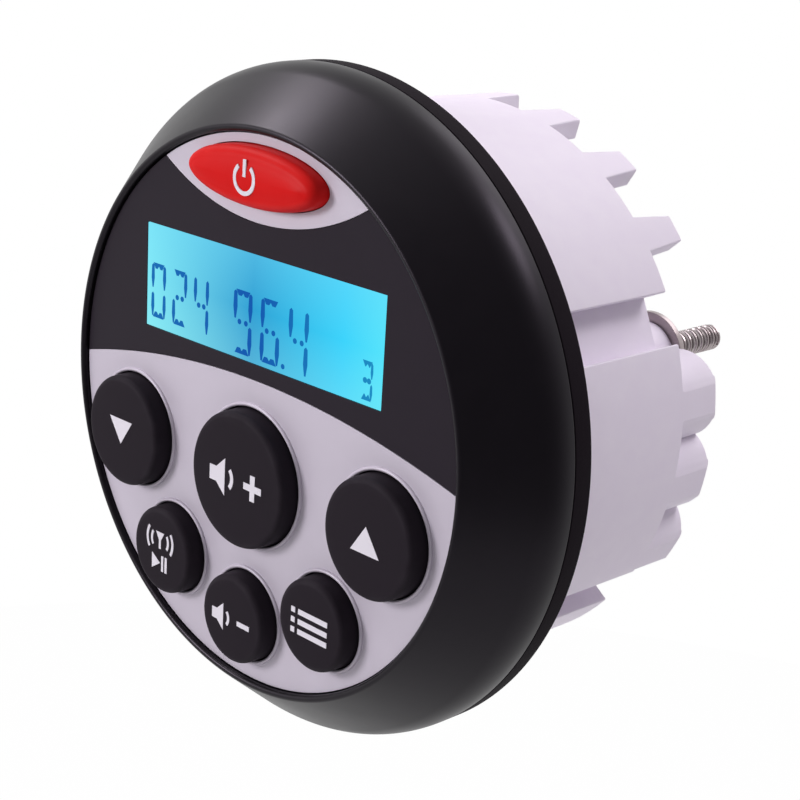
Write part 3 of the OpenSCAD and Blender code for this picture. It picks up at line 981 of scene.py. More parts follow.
class Palette:
    """The finishes of this part."""

    bezel = Finish("satin_bezel", (8, 7, 9), roughness=0.35, specular=0.2, specular_tint=(248, 234, 255),
                   grain_scale=2400, grain_depth=0.0016, worn_tint=(52, 48, 54), wear=0.25, dust=0.006)
    gasket = Finish("gasket_rubber", (22, 16, 22), roughness=0.75, specular=0.06,
                    grain_scale=2200, grain_depth=0.03)
    dark_film = Finish("dark_face_film", (40, 35, 42), spread=0.03, roughness=0.4, specular=0.06,
                       grain_scale=5200, grain_depth=0.0008)
    silver_film = Finish("silver_face_film", (196, 190, 201), spread=0.025, roughness=0.4, specular=0.4,
                         metallic=0.1, grain_scale=6500, grain_depth=0.0008)
    key = Finish("soft_black_key", (34, 29, 35), spread=0.08, roughness=0.6, specular=0.06, grain_scale=2600,
                 grain_depth=0.004, worn_tint=(84, 80, 86), wear=0.3)
    red_key = Finish("red_key", (208, 19, 19), spread=0.05, roughness=0.45, specular=0.07, grain_scale=2600,
                     grain_depth=0.003, worn_tint=(226, 70, 64), wear=0.3)
    legend = Finish("white_print", (222, 220, 226), spread=0.02, roughness=0.6, specular=0.3)
    cast = Finish("light_cast_metal", (234, 226, 239), spread=0.012, roughness=0.5, specular=0.4,
                  grain_scale=1700, grain_depth=0.008, worn_tint=(244, 240, 246), wear=0.35)
    steel = Finish("bright_steel", (154, 143, 144), spread=0.08, roughness=0.3, metallic=1.0,
                   grain_scale=1800, grain_depth=0.006, worn_tint=(214, 210, 208), wear=0.3)
    tin = Finish("bright_tin", (168, 170, 174), roughness=0.35, metallic=1.0, grain_scale=1200)
    rubber = Finish("black_rubber", (32, 31, 34), roughness=0.8, specular=0.25,
                    grain_scale=1800, grain_depth=0.03)
    silicone = Finish("grey_silicone", (118, 117, 122), roughness=0.7, grain_scale=1500)
    board = Finish("green_board", (32, 108, 60), spread=0.15, roughness=0.35, coat=0.3, grain_scale=500)
    chip = Finish("moulded_chip", (34, 34, 36), roughness=0.55, grain_scale=2400)
    ivory = Finish("ivory_nylon", (224, 220, 206), roughness=0.5, grain_scale=1500)
    pad = Finish("grey_pad", (150, 156, 164), roughness=0.8, grain_scale=1500)
    sleeve = Finish("blue_sleeve", (42, 58, 104), roughness=0.3, grain_scale=900)
    copper = Finish("copper_wire", (184, 104, 60), roughness=0.3, metallic=1.0, grain_scale=900)
    milky = Finish("milky_light_guide", (226, 240, 246), roughness=0.4, grain_scale=900)
    display = LitFinish("lit_display", ((0.0, (128, 232, 246)), (0.48, (40, 158, 210)),
                                        (0.85, (56, 210, 250)), (1.0, (82, 226, 250))),
                        top_share=0.35, low_share=0.15)
    segment = LitFinish("display_segment", ((0.0, (8, 106, 180)), (0.5, (0, 84, 172)), (1.0, (20, 140, 194))))


class TreeKit(NodeKit):
    """A Geometry Nodes tree with named inputs, put on an object and turned into a plain mesh."""

    def __init__(self, name: str, inputs: Sequence[tuple[str, str, object]]) -> None:
        """Make the tree with its inputs and its one output.

        Args:
            name: name of the tree.
            inputs: name, socket type and value of each input.
        """
        super().__init__(bpy.data.node_groups.new(name, "GeometryNodeTree"))
        face = self.tree.interface
        face.new_socket(name="Geometry", in_out="INPUT", socket_type="NodeSocketGeometry")
        self.values: dict[str, object] = {}
        for label, kind, value in inputs:
            socket = face.new_socket(name=label, in_out="INPUT", socket_type=kind)
            self.values[socket.identifier] = value
        face.new_socket(name="Geometry", in_out="OUTPUT", socket_type="NodeSocketGeometry")
        self.given = self.add("NodeGroupInput")
        self.result = self.add("NodeGroupOutput")

    def spread(self, instance: bpy.types.NodeSocket) -> bpy.types.Node:
        """Set an instance on each of the object's points.

        Args:
            instance: the geometry to repeat.

        Returns:
            The node that sets it.
        """
        node = self.add("GeometryNodeInstanceOnPoints")
        self.join(self.given.outputs["Geometry"], node.inputs["Points"])
        self.join(instance, node.inputs["Instance"])
        return node

    def turned(self, geometry: bpy.types.NodeSocket, angle: float) -> bpy.types.NodeSocket:
        """Turn geometry about X.

        Args:
            geometry: what is turned.
            angle: the angle in radians.

        Returns:
            The turned geometry.
        """
        node = self.add("GeometryNodeTransform")
        node.inputs["Rotation"].default_value = (angle, 0.0, 0.0)
        self.join(geometry, node.inputs["Geometry"])
        return node.outputs["Geometry"]

    def circle(self, resolution: int, radius: object) -> bpy.types.NodeSocket:
        """Place a circle.

        Args:
            resolution: number of its points.
            radius: a socket or a number.

        Returns:
            The curve.
        """
        node = self.add("GeometryNodeCurvePrimitiveCircle")
        node.inputs["Resolution"].default_value = resolution
        self.feed(node.inputs["Radius"], radius)
        return node.outputs["Curve"]

    def swept(self, path: bpy.types.NodeSocket, section: bpy.types.NodeSocket,
              caps: bool = False) -> bpy.types.NodeSocket:
        """Sweep a section along a path.

        Args:
            path: the curve to follow.
            section: the curve that is swept.
            caps: True to close the ends.

        Returns:
            The mesh.
        """
        node = self.add("GeometryNodeCurveToMesh")
        node.inputs["Fill Caps"].default_value = caps
        self.join(path, node.inputs["Curve"])
        self.join(section, node.inputs["Profile Curve"])
        return node.outputs["Mesh"]

    def close(self, geometry: bpy.types.NodeSocket, finish: Surface) -> None:
        """End the tree in real geometry with its material.

        Args:
            geometry: the last geometry.
            finish: finish of the piece.
        """
        real = self.add("GeometryNodeRealizeInstances")
        paint = self.add("GeometryNodeSetMaterial")
        paint.inputs["Material"].default_value = finish.material()
        self.join(geometry, real.inputs["Geometry"])
        self.join(real.outputs["Geometry"], paint.inputs["Geometry"])
        self.join(paint.outputs["Geometry"], self.result.inputs["Geometry"])

    def apply(self, piece: bpy.types.Object) -> bpy.types.Object:
        """Run the tree on an object and keep the result as its mesh.

        Args:
            piece: object whose points the tree reads.

        Returns:
            The same object.
        """
        modifier = piece.modifiers.new(self.tree.name, "NODES")
        modifier.node_group = self.tree
        for identifier, value in self.values.items():
            modifier[identifier] = value
        return MeshKit.bake(piece)


def places(name: str, points: Sequence[Place], radii: Sequence[float] = ()) -> bpy.types.Object:
    """Make an object of loose points for a tree to read.

    Args:
        name: name of the object.
        points: X, Y and Z of each point, in millimetres.
        radii: a radius for each point, in millimetres, stored as "radius".

    Returns:
        The object.
    """
    mesh = bpy.data.meshes.new(name)
    mesh.from_pydata([tuple(c * MM for c in p) for p in points], [], [])
    if radii:
        layer = mesh.attributes.new("radius", "FLOAT", "POINT")
        layer.data.foreach_set("value", [r * MM for r in radii])
    return MeshKit.link(name, mesh)


def dress(piece: bpy.types.Object, finish: Surface, body: str, slot: str, *nodes: str,
          edges: bool = False) -> bpy.types.Object:
    """Give a piece its finish, its body and the solids that it stands for.

    Args:
        piece: the new piece.
        finish: its finish.
        body: the moving body that it belongs to.
        slot: the record's material slot; not used.
        nodes: solids that it replaces.
        edges: True to store where its edges are, for wear.

    Returns:
        The piece.
    """
    if edges:
        MeshKit.mark_edges(piece)
    piece.data.materials.clear()
    piece.data.materials.append(finish.material())
    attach(piece, body)
    if nodes:
        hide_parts(*nodes)
    LOG.info("made %s", piece.name)
    return piece


@dataclass
class Bezel:
    """The domed ring round the face, and the gasket behind it."""

    slope: float = 40.0
    crest_round: float = 0.61
    shoulder_y: float = -6.6
    shoulder_round: float = 7.0
    rim_round: float = 0.3
    round_steps: int = 14
    core_gap: float = 1.9
    core_w: float = 1.4
    core_depth: float = 3.6
    gasket_round: float = 0.45
    gasket_groove: float = 0.1
    segments: int = 256

    def profile(self) -> Outline:
        """Return the bezel's section as radius and Y, all round.

        Returns:
            Its points, in millimetres.
        """
        inner, outer = SIZES.opening_r, SIZES.bezel_r
        crest = self.shoulder_y - (outer - inner) / math.tan(math.radians(self.slope))
        core_in = SIZES.bore_r + self.core_gap
        core_out = core_in + self.core_w
        core_y = SIZES.y_rim - self.core_depth
        front = rounded([(inner, SIZES.y_plate_back, 0.0), (inner, crest, self.crest_round),
                         (outer, self.shoulder_y, self.shoulder_round), (outer, SIZES.y_rim, self.rim_round),
                         (core_out, SIZES.y_rim, 0.0)], self.round_steps)
        rear = [(core_out, core_y), (core_in, core_y), (core_in, SIZES.y_rim), (SIZES.bore_r, SIZES.y_rim)]
        ledge = [(SIZES.bore_r, SIZES.y_shelf), (SIZES.ledge_r, SIZES.y_shelf),
                 (SIZES.ledge_r, SIZES.y_plate_back)]
        return [*front, *rear, *ledge]

    def build(self) -> None:
        """Make the ring and the gasket."""
        ring = MeshKit.lathe("bezel_ring", self.profile(), self.segments, ring=True)
        dress(ring, Palette.bezel, CHASSIS, "bezel_black", "front_bezel", edges=True)
        r, inner, edge, groove = SIZES.bezel_r, SIZES.gasket_r, self.gasket_round, self.gasket_groove
        section = [(inner, SIZES.y_rim), (r - groove, SIZES.y_rim), (r, SIZES.y_rim + groove),
                   *arc((r - edge, -edge), edge, 0.0, 90.0, 4), (inner, 0.0)]
        seal = MeshKit.lathe("gasket_ring", section, self.segments, ring=True)
        dress(seal, Palette.gasket, CHASSIS, "seal_rubber", "panel_gasket")


@dataclass(frozen=True)
class RoundKey:
    """One round key: its name, its place and its radius in millimetres."""

    name: KeyName
    at: Point
    radius: float


ROUND_KEYS: tuple[RoundKey, ...] = (
    RoundKey(KeyName.VOLUME_UP, (0.0, -8.9), 10.16),
    RoundKey(KeyName.VOLUME_DOWN, (0.0, -30.26), 6.84),
    RoundKey(KeyName.SEEK_UP, clock(108.5, 28.46), 8.64),
    RoundKey(KeyName.SEEK_DOWN, clock(-108.5, 28.46), 8.64),
    RoundKey(KeyName.PLAY, clock(-146.2, 30.26), 6.84),
    RoundKey(KeyName.MODE, clock(146.2, 30.26), 6.84),
)


@dataclass
class FaceFilms:
    """The films on the face plate and the raised lips round the key holes."""

    gap: float = 0.05
    edge: float = 0.03
    window_gap: float = 0.1
    lip_w: float = 0.6
    lip_h: float = 0.8
    lip_gap: float = 0.12
    lip_sharp: float = 60.0

    def silver_line(self, shift: float) -> Outline:
        """Return the silver film's curved top edge from left to right, moved outwards by a shift."""
        reach = (SIZES.face_r ** 2 + SIZES.silver_drop ** 2) / (2.0 * SIZES.silver_drop)
        return self.bow(SIZES.silver_top - reach, reach + shift, 1.0, 96)

    def eye_line(self, shift: float) -> Outline:
        """Return the lower edge of the lens shape round the power key, from left to right."""
        return self.bow(SIZES.eye_low + SIZES.eye_r, SIZES.eye_r + shift, -1.0, 64)

    @classmethod
    def bow(cls, centre: float, radius: float, side: float, steps: int) -> Outline:
        """Return an arc about a point above or below the axis, cut off at the films' round edge.

        Args:
            centre: Z of the arc's centre.
            radius: its radius.
            side: 1 for the upper half of its circle, -1 for the lower half.
            steps: number of chords.

        Returns:
            The points from left to right.
        """
        def height(x: float) -> float:
            """Return Z of the arc over X."""
            return centre + side * math.sqrt(radius ** 2 - x ** 2)

        half = cls.meet(height)
        xs = [-half + 2.0 * half * i / steps for i in range(steps + 1)]
        return [(x, height(x)) for x in xs]

    @staticmethod
    def meet(line: Callable[[float], float], halvings: int = 60) -> float:
        """Return the X where a line over X meets the films' round edge, found by halving.

        Args:
            line: function that gives the line's Z over X.
            halvings: number of halvings.

        Returns:
            The X, in millimetres.
        """
        low, high = 0.0, SIZES.film_r * 0.9999
        for _ in range(halvings):
            mid = (low + high) / 2.0
            inside = math.hypot(mid, line(mid)) < SIZES.film_r
            low, high = (mid, high) if inside else (low, mid)
        return low

    @staticmethod
    def rim(start: Point, stop: Point, steps: int, turn: float) -> Outline:
        """Return points on the films' round edge between two points on it.

        Args:
            start: first point.
            stop: last point.
            steps: number of chords.
            turn: 1 for anticlockwise, -1 for clockwise.

        Returns:
            The points between the two, without them.
        """
        a = math.degrees(math.atan2(start[1], start[0]))
        b = math.degrees(math.atan2(stop[1], stop[0]))
        sweep = (b - a) * turn % 360.0 * turn
        return arc((0.0, 0.0), SIZES.film_r, a, a + sweep, steps)[1:-1]

    def build(self) -> None:
        """Make the three films and the lips."""
        silver = self.silver_line(-self.gap)
        lower = [*silver, *self.rim(silver[-1], silver[0], 160, -1.0)]
        holes = [circle(k.at, k.radius + SIZES.key_gap) for k in ROUND_KEYS]
        self.film("silver_film", [lower, *holes], Palette.silver_film, "face_silver", "lower_overlay")
        edge = self.silver_line(self.gap)
        eye = self.eye_line(self.gap)
        right = self.rim(edge[-1], eye[-1], 40, 1.0)
        left = self.rim(eye[0], edge[0], 40, 1.0)
        upper = [*edge, *right, *reversed(eye), *left]
        wider = 2.0 * self.window_gap
        window = bar((0.0, SIZES.window_z), SIZES.window_w + wider, SIZES.window_h + wider)
        self.film("dark_film", [upper, window], Palette.dark_film, "face_dark", "upper_overlay")
        lens_low = self.eye_line(-self.gap)
        lens = [*lens_low, *self.rim(lens_low[-1], lens_low[0], 80, 1.0)]
        around = 2.0 * self.lip_gap
        hole = ellipse((0.0, SIZES.power_z), SIZES.power_w + around, SIZES.power_h + around)
        self.film("power_film", [lens, hole], Palette.silver_film, "face_silver", "power_overlay")
        self.lips()

    def film(self, name: str, outlines: Sequence[Outline], finish: Surface, slot: str, node: str) -> None:
        """Make one film.

        Args:
            name: name of the piece.
            outlines: its outline and its holes.
            finish: its finish.
            slot: the record's material slot.
            node: the solid that it replaces.
        """
        sheet = MeshKit.flat(name, outlines, SIZES.y_face, SIZES.y_plate, self.edge)
        dress(sheet, finish, CHASSIS, slot, node)

    def lips(self) -> None:
        """Sweep a low rounded lip round each key hole."""
        tree = TreeKit("key_hole_lips", [("Lip width", "NodeSocketFloat", self.lip_w * MM),
                                         ("Lip height", "NodeSocketFloat", self.lip_h * MM)])
        size = tree.add("GeometryNodeInputNamedAttribute", data_type="FLOAT")
        size.inputs["Name"].default_value = "radius"
        spread = tree.spread(tree.turned(tree.circle(128, 1.0), math.pi / 2))
        tree.join(size.outputs["Attribute"], spread.inputs["Scale"])
        loose = tree.add("GeometryNodeRealizeInstances")
        tree.join(spread.outputs["Instances"], loose.inputs["Geometry"])
        shape = tree.add("ShaderNodeCombineXYZ")
        tree.join(tree.given.outputs["Lip width"], shape.inputs["X"])
        tree.join(tree.given.outputs["Lip height"], shape.inputs["Y"])
        shape.inputs["Z"].default_value = 1.0
        section = tree.add("GeometryNodeTransform")
        tree.join(tree.circle(14, 0.5), section.inputs["Geometry"])
        tree.join(shape.outputs[0], section.inputs["Scale"])
        tree.close(tree.swept(loose.outputs["Geometry"], section.outputs["Geometry"]), Palette.silver_film)
        points = [(k.at[0], SIZES.y_face, k.at[1]) for k in ROUND_KEYS]
        radii = [k.radius + self.lip_gap + self.lip_w / 2.0 for k in ROUND_KEYS]
        lips = tree.apply(places("key_hole_lips", points, radii))
        MeshKit.smooth(lips.data, self.lip_sharp)
        dress(lips, Palette.silver_film, CHASSIS, "face_silver")


class Segments:
    """Outlines of the display's figures, made of narrow strokes, notched bars and dots."""

    STROKES = {"0": "abcdef", "1": "bc", "2": "abged", "3": "abgcd", "4": "fgbc",
               "5": "afgcd", "6": "afgedc", "7": "abc", "8": "abcdefg", "9": "abfgcd"}
    STROKE = 0.12
    BAR = 0.86
    DOT_R = 0.4

    def __init__(self, width: float, height: float) -> None:
        """Keep the size of a figure, in millimetres."""
        self.w = width
        self.h = height

    def upright(self, x: float, low: float, high: float) -> Outline:
        """Return a slim stroke that tapers to its ends.

        Args:
            x: its middle.
            low: its lower end.
            high: its upper end.

        Returns:
            Its outline.
        """
        t = self.w * self.STROKE
        foot, shoulder, neck = t * 0.35, t * 0.8, high - 0.3
        waist = low + (high - low) * 0.4
        return [(x - foot, low), (x + foot, low), (x + t, waist), (x + shoulder, neck), (x, high),
                (x - shoulder, neck), (x - t, waist)]

    def notched(self, z: float, down: float) -> list[Outline]:
        """Return a bar with a notch in its middle.

        Args:
            z: the bar's outer edge.
            down: -1 for the top bar and 1 for the bottom one.

        Returns:
            Its outline, as the only one of a list.
        """
        a, b, t = self.w * 0.16, self.w * 0.84, self.BAR * down
        mid, slant, notch = (a + b) / 2.0, 0.25, 0.35
        return [[(a - slant, z), (b + slant, z), (b - slant, z + t), (mid + notch, z + t),
                 (mid, z + t * 0.5), (mid - notch, z + t), (a + slant, z + t)]]

    def figure(self, digit: str, x: float, z: float) -> list[Outline]:
        """Return the outlines of one digit.

        Args:
            digit: the digit to show.
            x: left edge, in millimetres.
            z: lower edge, in millimetres.

        Returns:
            Its outlines.
        """
        w, h, gap, end = self.w, self.h, 0.35, 0.15
        half, left, right = h / 2.0, w * 0.06, w * 0.94
        made = {
            "a": self.notched(h, -1.0),
            "b": [self.upright(right, half + gap, h - end)],
            "c": [self.upright(right, end, half - gap)],
            "d": self.notched(0.0, 1.0),
            "e": [self.upright(left, end, half - gap)],
            "f": [self.upright(left, half + gap, h - end)],
            "g": [circle((w * share, half), self.DOT_R, 16) for share in (0.32, 0.7)],
        }
        return [moved(o, x, z) for part in self.STROKES[digit] for o in made[part]]


@dataclass
class DisplayPanel:
    """The lit window and the figures that it shows."""

    left: str = "024"
    left_xs: tuple[float, ...] = (-24.0, -19.0, -14.0)
    left_z: float = 9.3
    main: str = "964"
    main_xs: tuple[float, ...] = (-5.0, 0.9, 6.8)
    small: str = "3"
    small_x: float = 21.4
    low_z: float = 8.5
    point_at: Point = (5.7, 8.9)
    point_r: float = 0.38
    edge: float = 0.06
    print_h: float = 0.02
    print_sunk: float = 0.05

    def build(self) -> None:
        """Make the window and its figures."""
        window = bar((0.0, SIZES.window_z), SIZES.window_w, SIZES.window_h)
        panel = MeshKit.flat("display_panel", [window], SIZES.y_face, SIZES.y_plate_back, self.edge)
        dress(panel, Palette.display, CHASSIS, "display_blue", "display_window")
        figures: list[Outline] = []
        group = Segments(3.1, 8.2)
        for digit, x in zip(self.left, self.left_xs):
            figures += group.figure(digit, x, self.left_z)
        large = Segments(3.7, 9.2)
        for digit, x in zip(self.main, self.main_xs):
            figures += large.figure(digit, x, self.low_z)
        figures.append(circle(self.point_at, self.point_r, 16))
        figures += Segments(2.0, 5.4).figure(self.small, self.small_x, self.low_z)
        front, rear = SIZES.y_face - self.print_h, SIZES.y_face + self.print_sunk
        shown = MeshKit.flat("display_figures", figures, front, rear)
        dress(shown, Palette.segment, CHASSIS, "display_blue")


class Legends:
    """Outlines of the plain signs printed on the keys, about one millimetre to a unit."""

    @staticmethod
    def speaker() -> list[Outline]:
        """Return a loudspeaker one unit tall.

        Returns:
            Its outlines.
        """
        horn = [(-0.52, -0.2), (-0.26, -0.2), (0.08, -0.5), (0.08, 0.5), (-0.26, 0.2), (-0.52, 0.2)]
        wave = [*arc((0.0, 0.0), 0.42, -42.0, 42.0, 12), *arc((0.0, 0.0), 0.3, 42.0, -42.0, 12)]
        return [horn, wave]

    @staticmethod
    def plus(size: float, stroke: float) -> Outline:
        """Return a plus sign.

        Args:
            size: its width and height.
            stroke: width of its strokes.

        Returns:
            Its outline.
        """
        a, b = size / 2.0, stroke / 2.0
        lower = [(-a, -b), (-b, -b), (-b, -a), (b, -a), (b, -b), (a, -b)]
        return [*lower, *((-x, -z) for x, z in lower)]

    @staticmethod
    def triangle(width: float, height: float, up: bool) -> Outline:
        """Return a triangle that points up or down.

        Args:
            width: its width.
            height: its height.
            up: True where it points up.

        Returns:
            Its outline.
        """
        side = width / 2.0
        tip = height / 2.0 if up else -height / 2.0
        return [(-side, -tip), (side, -tip), (0.0, tip)]

    @staticmethod
    def play_pause(size: float) -> list[Outline]:
        """Return a play triangle with two pause bars."""
        tri = [(-size * 0.75, -size / 2), (-size * 0.75, size / 2), (size * 0.05, 0.0)]
        return [tri, bar((size * 0.26, 0.0), size * 0.2, size), bar((size * 0.6, 0.0), size * 0.2, size)]

    @staticmethod
    def aerial(size: float) -> list[Outline]:
        """Return an aerial with two waves at each side.

        Args:
            size: its scale.

        Returns:
            Its outlines.
        """
        mast = [(-0.1, -0.6), (0.1, -0.6), (0.1, 0.0), (0.42, 0.55), (-0.42, 0.55), (-0.1, 0.0)]
        waves = [[*arc((0.0, 0.0), r, -33.0, 33.0, 10), *arc((0.0, 0.0), r - 0.2, 33.0, -33.0, 10)]
                 for r in (0.95, 1.42)]
        mirrored = [[(-x, z) for x, z in wave] for wave in waves]
        return [moved(o, 0.0, 0.0, size) for o in (mast, *waves, *mirrored)]

    @staticmethod
    def menu(width: float, pitch: float, stroke: float) -> list[Outline]:
        """Return three bars with a dot before each.

        Args:
            width: width of the sign.
            pitch: distance between the rows.
            stroke: height of the bars.

        Returns:
            Its outlines.
        """
        rows = (pitch, 0.0, -pitch)
        dots = [bar((-width / 2.0 + stroke / 2.0, z), stroke, stroke) for z in rows]
        bars = [bar((stroke * 0.9, z), width - stroke * 1.8, stroke) for z in rows]
        return dots + bars

    @staticmethod
    def standby(size: float) -> list[Outline]:
        """Return the common on and standby sign.

        Args:
            size: its diameter.

        Returns:
            Its outlines.
        """
        r, t = size / 2.0, size * 0.13
        ring = [*arc((0.0, 0.0), r, 128.0, 412.0, 40), *arc((0.0, 0.0), r - t, 412.0, 128.0, 40)]
        return [ring, bar((0.0, r * 0.62), t, size * 0.52)]

    @classmethod
    def of(cls, name: KeyName) -> list[Outline]:
        """Return the outlines printed on a key, about its centre.

        Args:
            name: the key.

        Returns:
            Its outlines, in millimetres.
        """
        if name is KeyName.POWER:
            return cls.standby(4.6)
        if name is KeyName.VOLUME_UP:
            signs = [moved(o, -2.6, 0.0, 5.6) for o in cls.speaker()]
            return signs + [moved(cls.plus(3.8, 1.0), 3.9, 0.0)]
        if name is KeyName.VOLUME_DOWN:
            signs = [moved(o, -1.9, 0.0, 4.2) for o in cls.speaker()]
            return signs + [bar((2.9, 0.0), 2.7, 0.75)]
        if name is KeyName.SEEK_UP:
            return [cls.triangle(5.5, 3.9, True)]
        if name is KeyName.SEEK_DOWN:
            return [cls.triangle(5.5, 3.9, False)]
        if name is KeyName.PLAY:
            waves = [moved(o, 0.0, 1.75) for o in cls.aerial(2.3)]
            return waves + [moved(o, 0.0, -1.9) for o in cls.play_pause(2.5)]
        return cls.menu(7.4, 1.5, 0.8)


@dataclass
class KeySet:
    """The seven keys with their printed signs and the domes under them."""

    draft: float = 0.15
    edge: float = 0.9
    crown: float = 0.12
    flange: float = 0.8
    print_h: float = 0.03
    print_sunk: float = 0.12
    crown_steps: int = 8
    round_steps: int = 9
    power_round: float = 1.7
    power_crown: float = 0.3
    power_crown_shares: tuple[float, ...] = (0.02, 0.35, 0.65, 0.85)
    power_round_steps: int = 8
    power_draft: float = 0.06
    power_step: float = 1.3
    power_ledge_gap: float = 0.4
    tab_over: float = 3.0
    tab_low: float = 31.13
    tab_high: float = 35.13
    tab_sunk: float = 0.02
    tab_edge: float = 0.1

    def round_key(self, key: RoundKey) -> None:
        """Make one round key.

        Args:
            key: the key's name, place and radius.
        """
        r, steps = key.radius, self.crown_steps
        top = r - self.draft - self.edge
        face = [(top * i / steps, SIZES.y_key + self.crown * (i / steps) ** 2) for i in range(steps)]
        side = arc((top, SIZES.y_key + self.crown + self.edge), self.edge, -90.0, 0.0, self.round_steps)
        profile = [*face, *side, (r, SIZES.y_flange), (r + self.flange, SIZES.y_flange),
                   (r + self.flange, SIZES.y_flange_back), (0.0, SIZES.y_flange_back)]
        piece = MeshKit.lathe(f"{key.name.value}_cap", profile, 128, key.at)
        dress(piece, Palette.key, key.name.body, "key_black", key.name.node, edges=True)
        self.sign(key.name, key.at, "key_black")

    def power_key(self) -> None:
        """Make the oval power key with its two tabs."""
        at, w, h = (0.0, SIZES.power_z), SIZES.power_w, SIZES.power_h
        round_w, crown = self.power_round, self.power_crown
        rings: list[tuple[Outline, float]] = []
        for share in self.power_crown_shares:
            inset = round_w + (1.0 - share) * (h / 2.0 - round_w)
            rings.append((ellipse(at, w - 2.0 * inset, h - 2.0 * inset), SIZES.y_key + crown * share ** 2))
        for i in range(self.power_round_steps + 1):
            turn = math.radians(90.0 * i / self.power_round_steps)
            inset = round_w * (1.0 - math.sin(turn)) + self.power_draft
            y = SIZES.y_key + crown + round_w * (1.0 - math.cos(turn))
            rings.append((ellipse(at, w - 2.0 * inset, h - 2.0 * inset), y))
        whole = ellipse(at, w, h)
        trimmed = [self.trim(p) for p in whole]
        step_y = SIZES.y_plate_back - self.power_step
        rings += [(whole, step_y), (trimmed, step_y), (trimmed, SIZES.y_flange_back)]
        cap = MeshKit.loft("power_cap", rings)
        low, high = self.tab_low, self.tab_high
        strip = bar((0.0, (low + high) / 2.0), w + self.tab_over, high - low)
        tabs_back = SIZES.y_flange_back - self.tab_sunk
        tabs = MeshKit.flat("power_tabs", [strip], SIZES.y_flange, tabs_back, self.tab_edge)
        MeshKit.merge(cap, tabs)
        dress(cap, Palette.red_key, KeyName.POWER.body, "key_red", KeyName.POWER.node, edges=True)
        self.sign(KeyName.POWER, at, "key_red")

    def trim(self, point: Point) -> Point:
        """Return a point brought inside the ledge behind the face."""
        scale = min(1.0, (SIZES.ledge_r - self.power_ledge_gap) / math.hypot(*point))
        return point[0] * scale, point[1] * scale

    def sign(self, name: KeyName, at: Point, slot: str) -> None:
        """Print a key's sign on it.

        Args:
            name: the key.
            at: the key's centre.
            slot: the record's material slot of the key.
        """
        outlines = [moved(o, at[0], at[1]) for o in Legends.of(name)]
        front, rear = SIZES.y_key - self.print_h, SIZES.y_key + self.print_sunk
        sign = MeshKit.flat(f"{name.value}_sign", outlines, front, rear)
        dress(sign, Palette.legend, name.body, slot)

    def dome(self, name: KeyName, at: Point) -> None:
        """Make the rubber dome under a key; the real dome flattens as the key goes in, but this piece keeps
        its shape.

        Args:
            name: the key.
            at: the key's centre.
        """
        y0, y1 = SIZES.y_dome, SIZES.y_membrane
        profile = [(0.0, y0), (1.7, y0), (2.0, y0 + 0.2), (2.5, y0 + 1.0),
                   (3.0, y1 - 0.25), (3.2, y1), (0.0, y1)]
        dome = MeshKit.lathe(f"{name.value}_dome_cap", profile, 48, at)
        dress(dome, Palette.silicone, CHASSIS, "key_rubber", name.dome)
        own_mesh(dome)

    def build(self) -> None:
        """Make every key, sign and dome."""
        for key in ROUND_KEYS:
            self.round_key(key)
            self.dome(key.name, key.at)
        self.power_key()
        self.dome(KeyName.POWER, (0.0, SIZES.power_z))


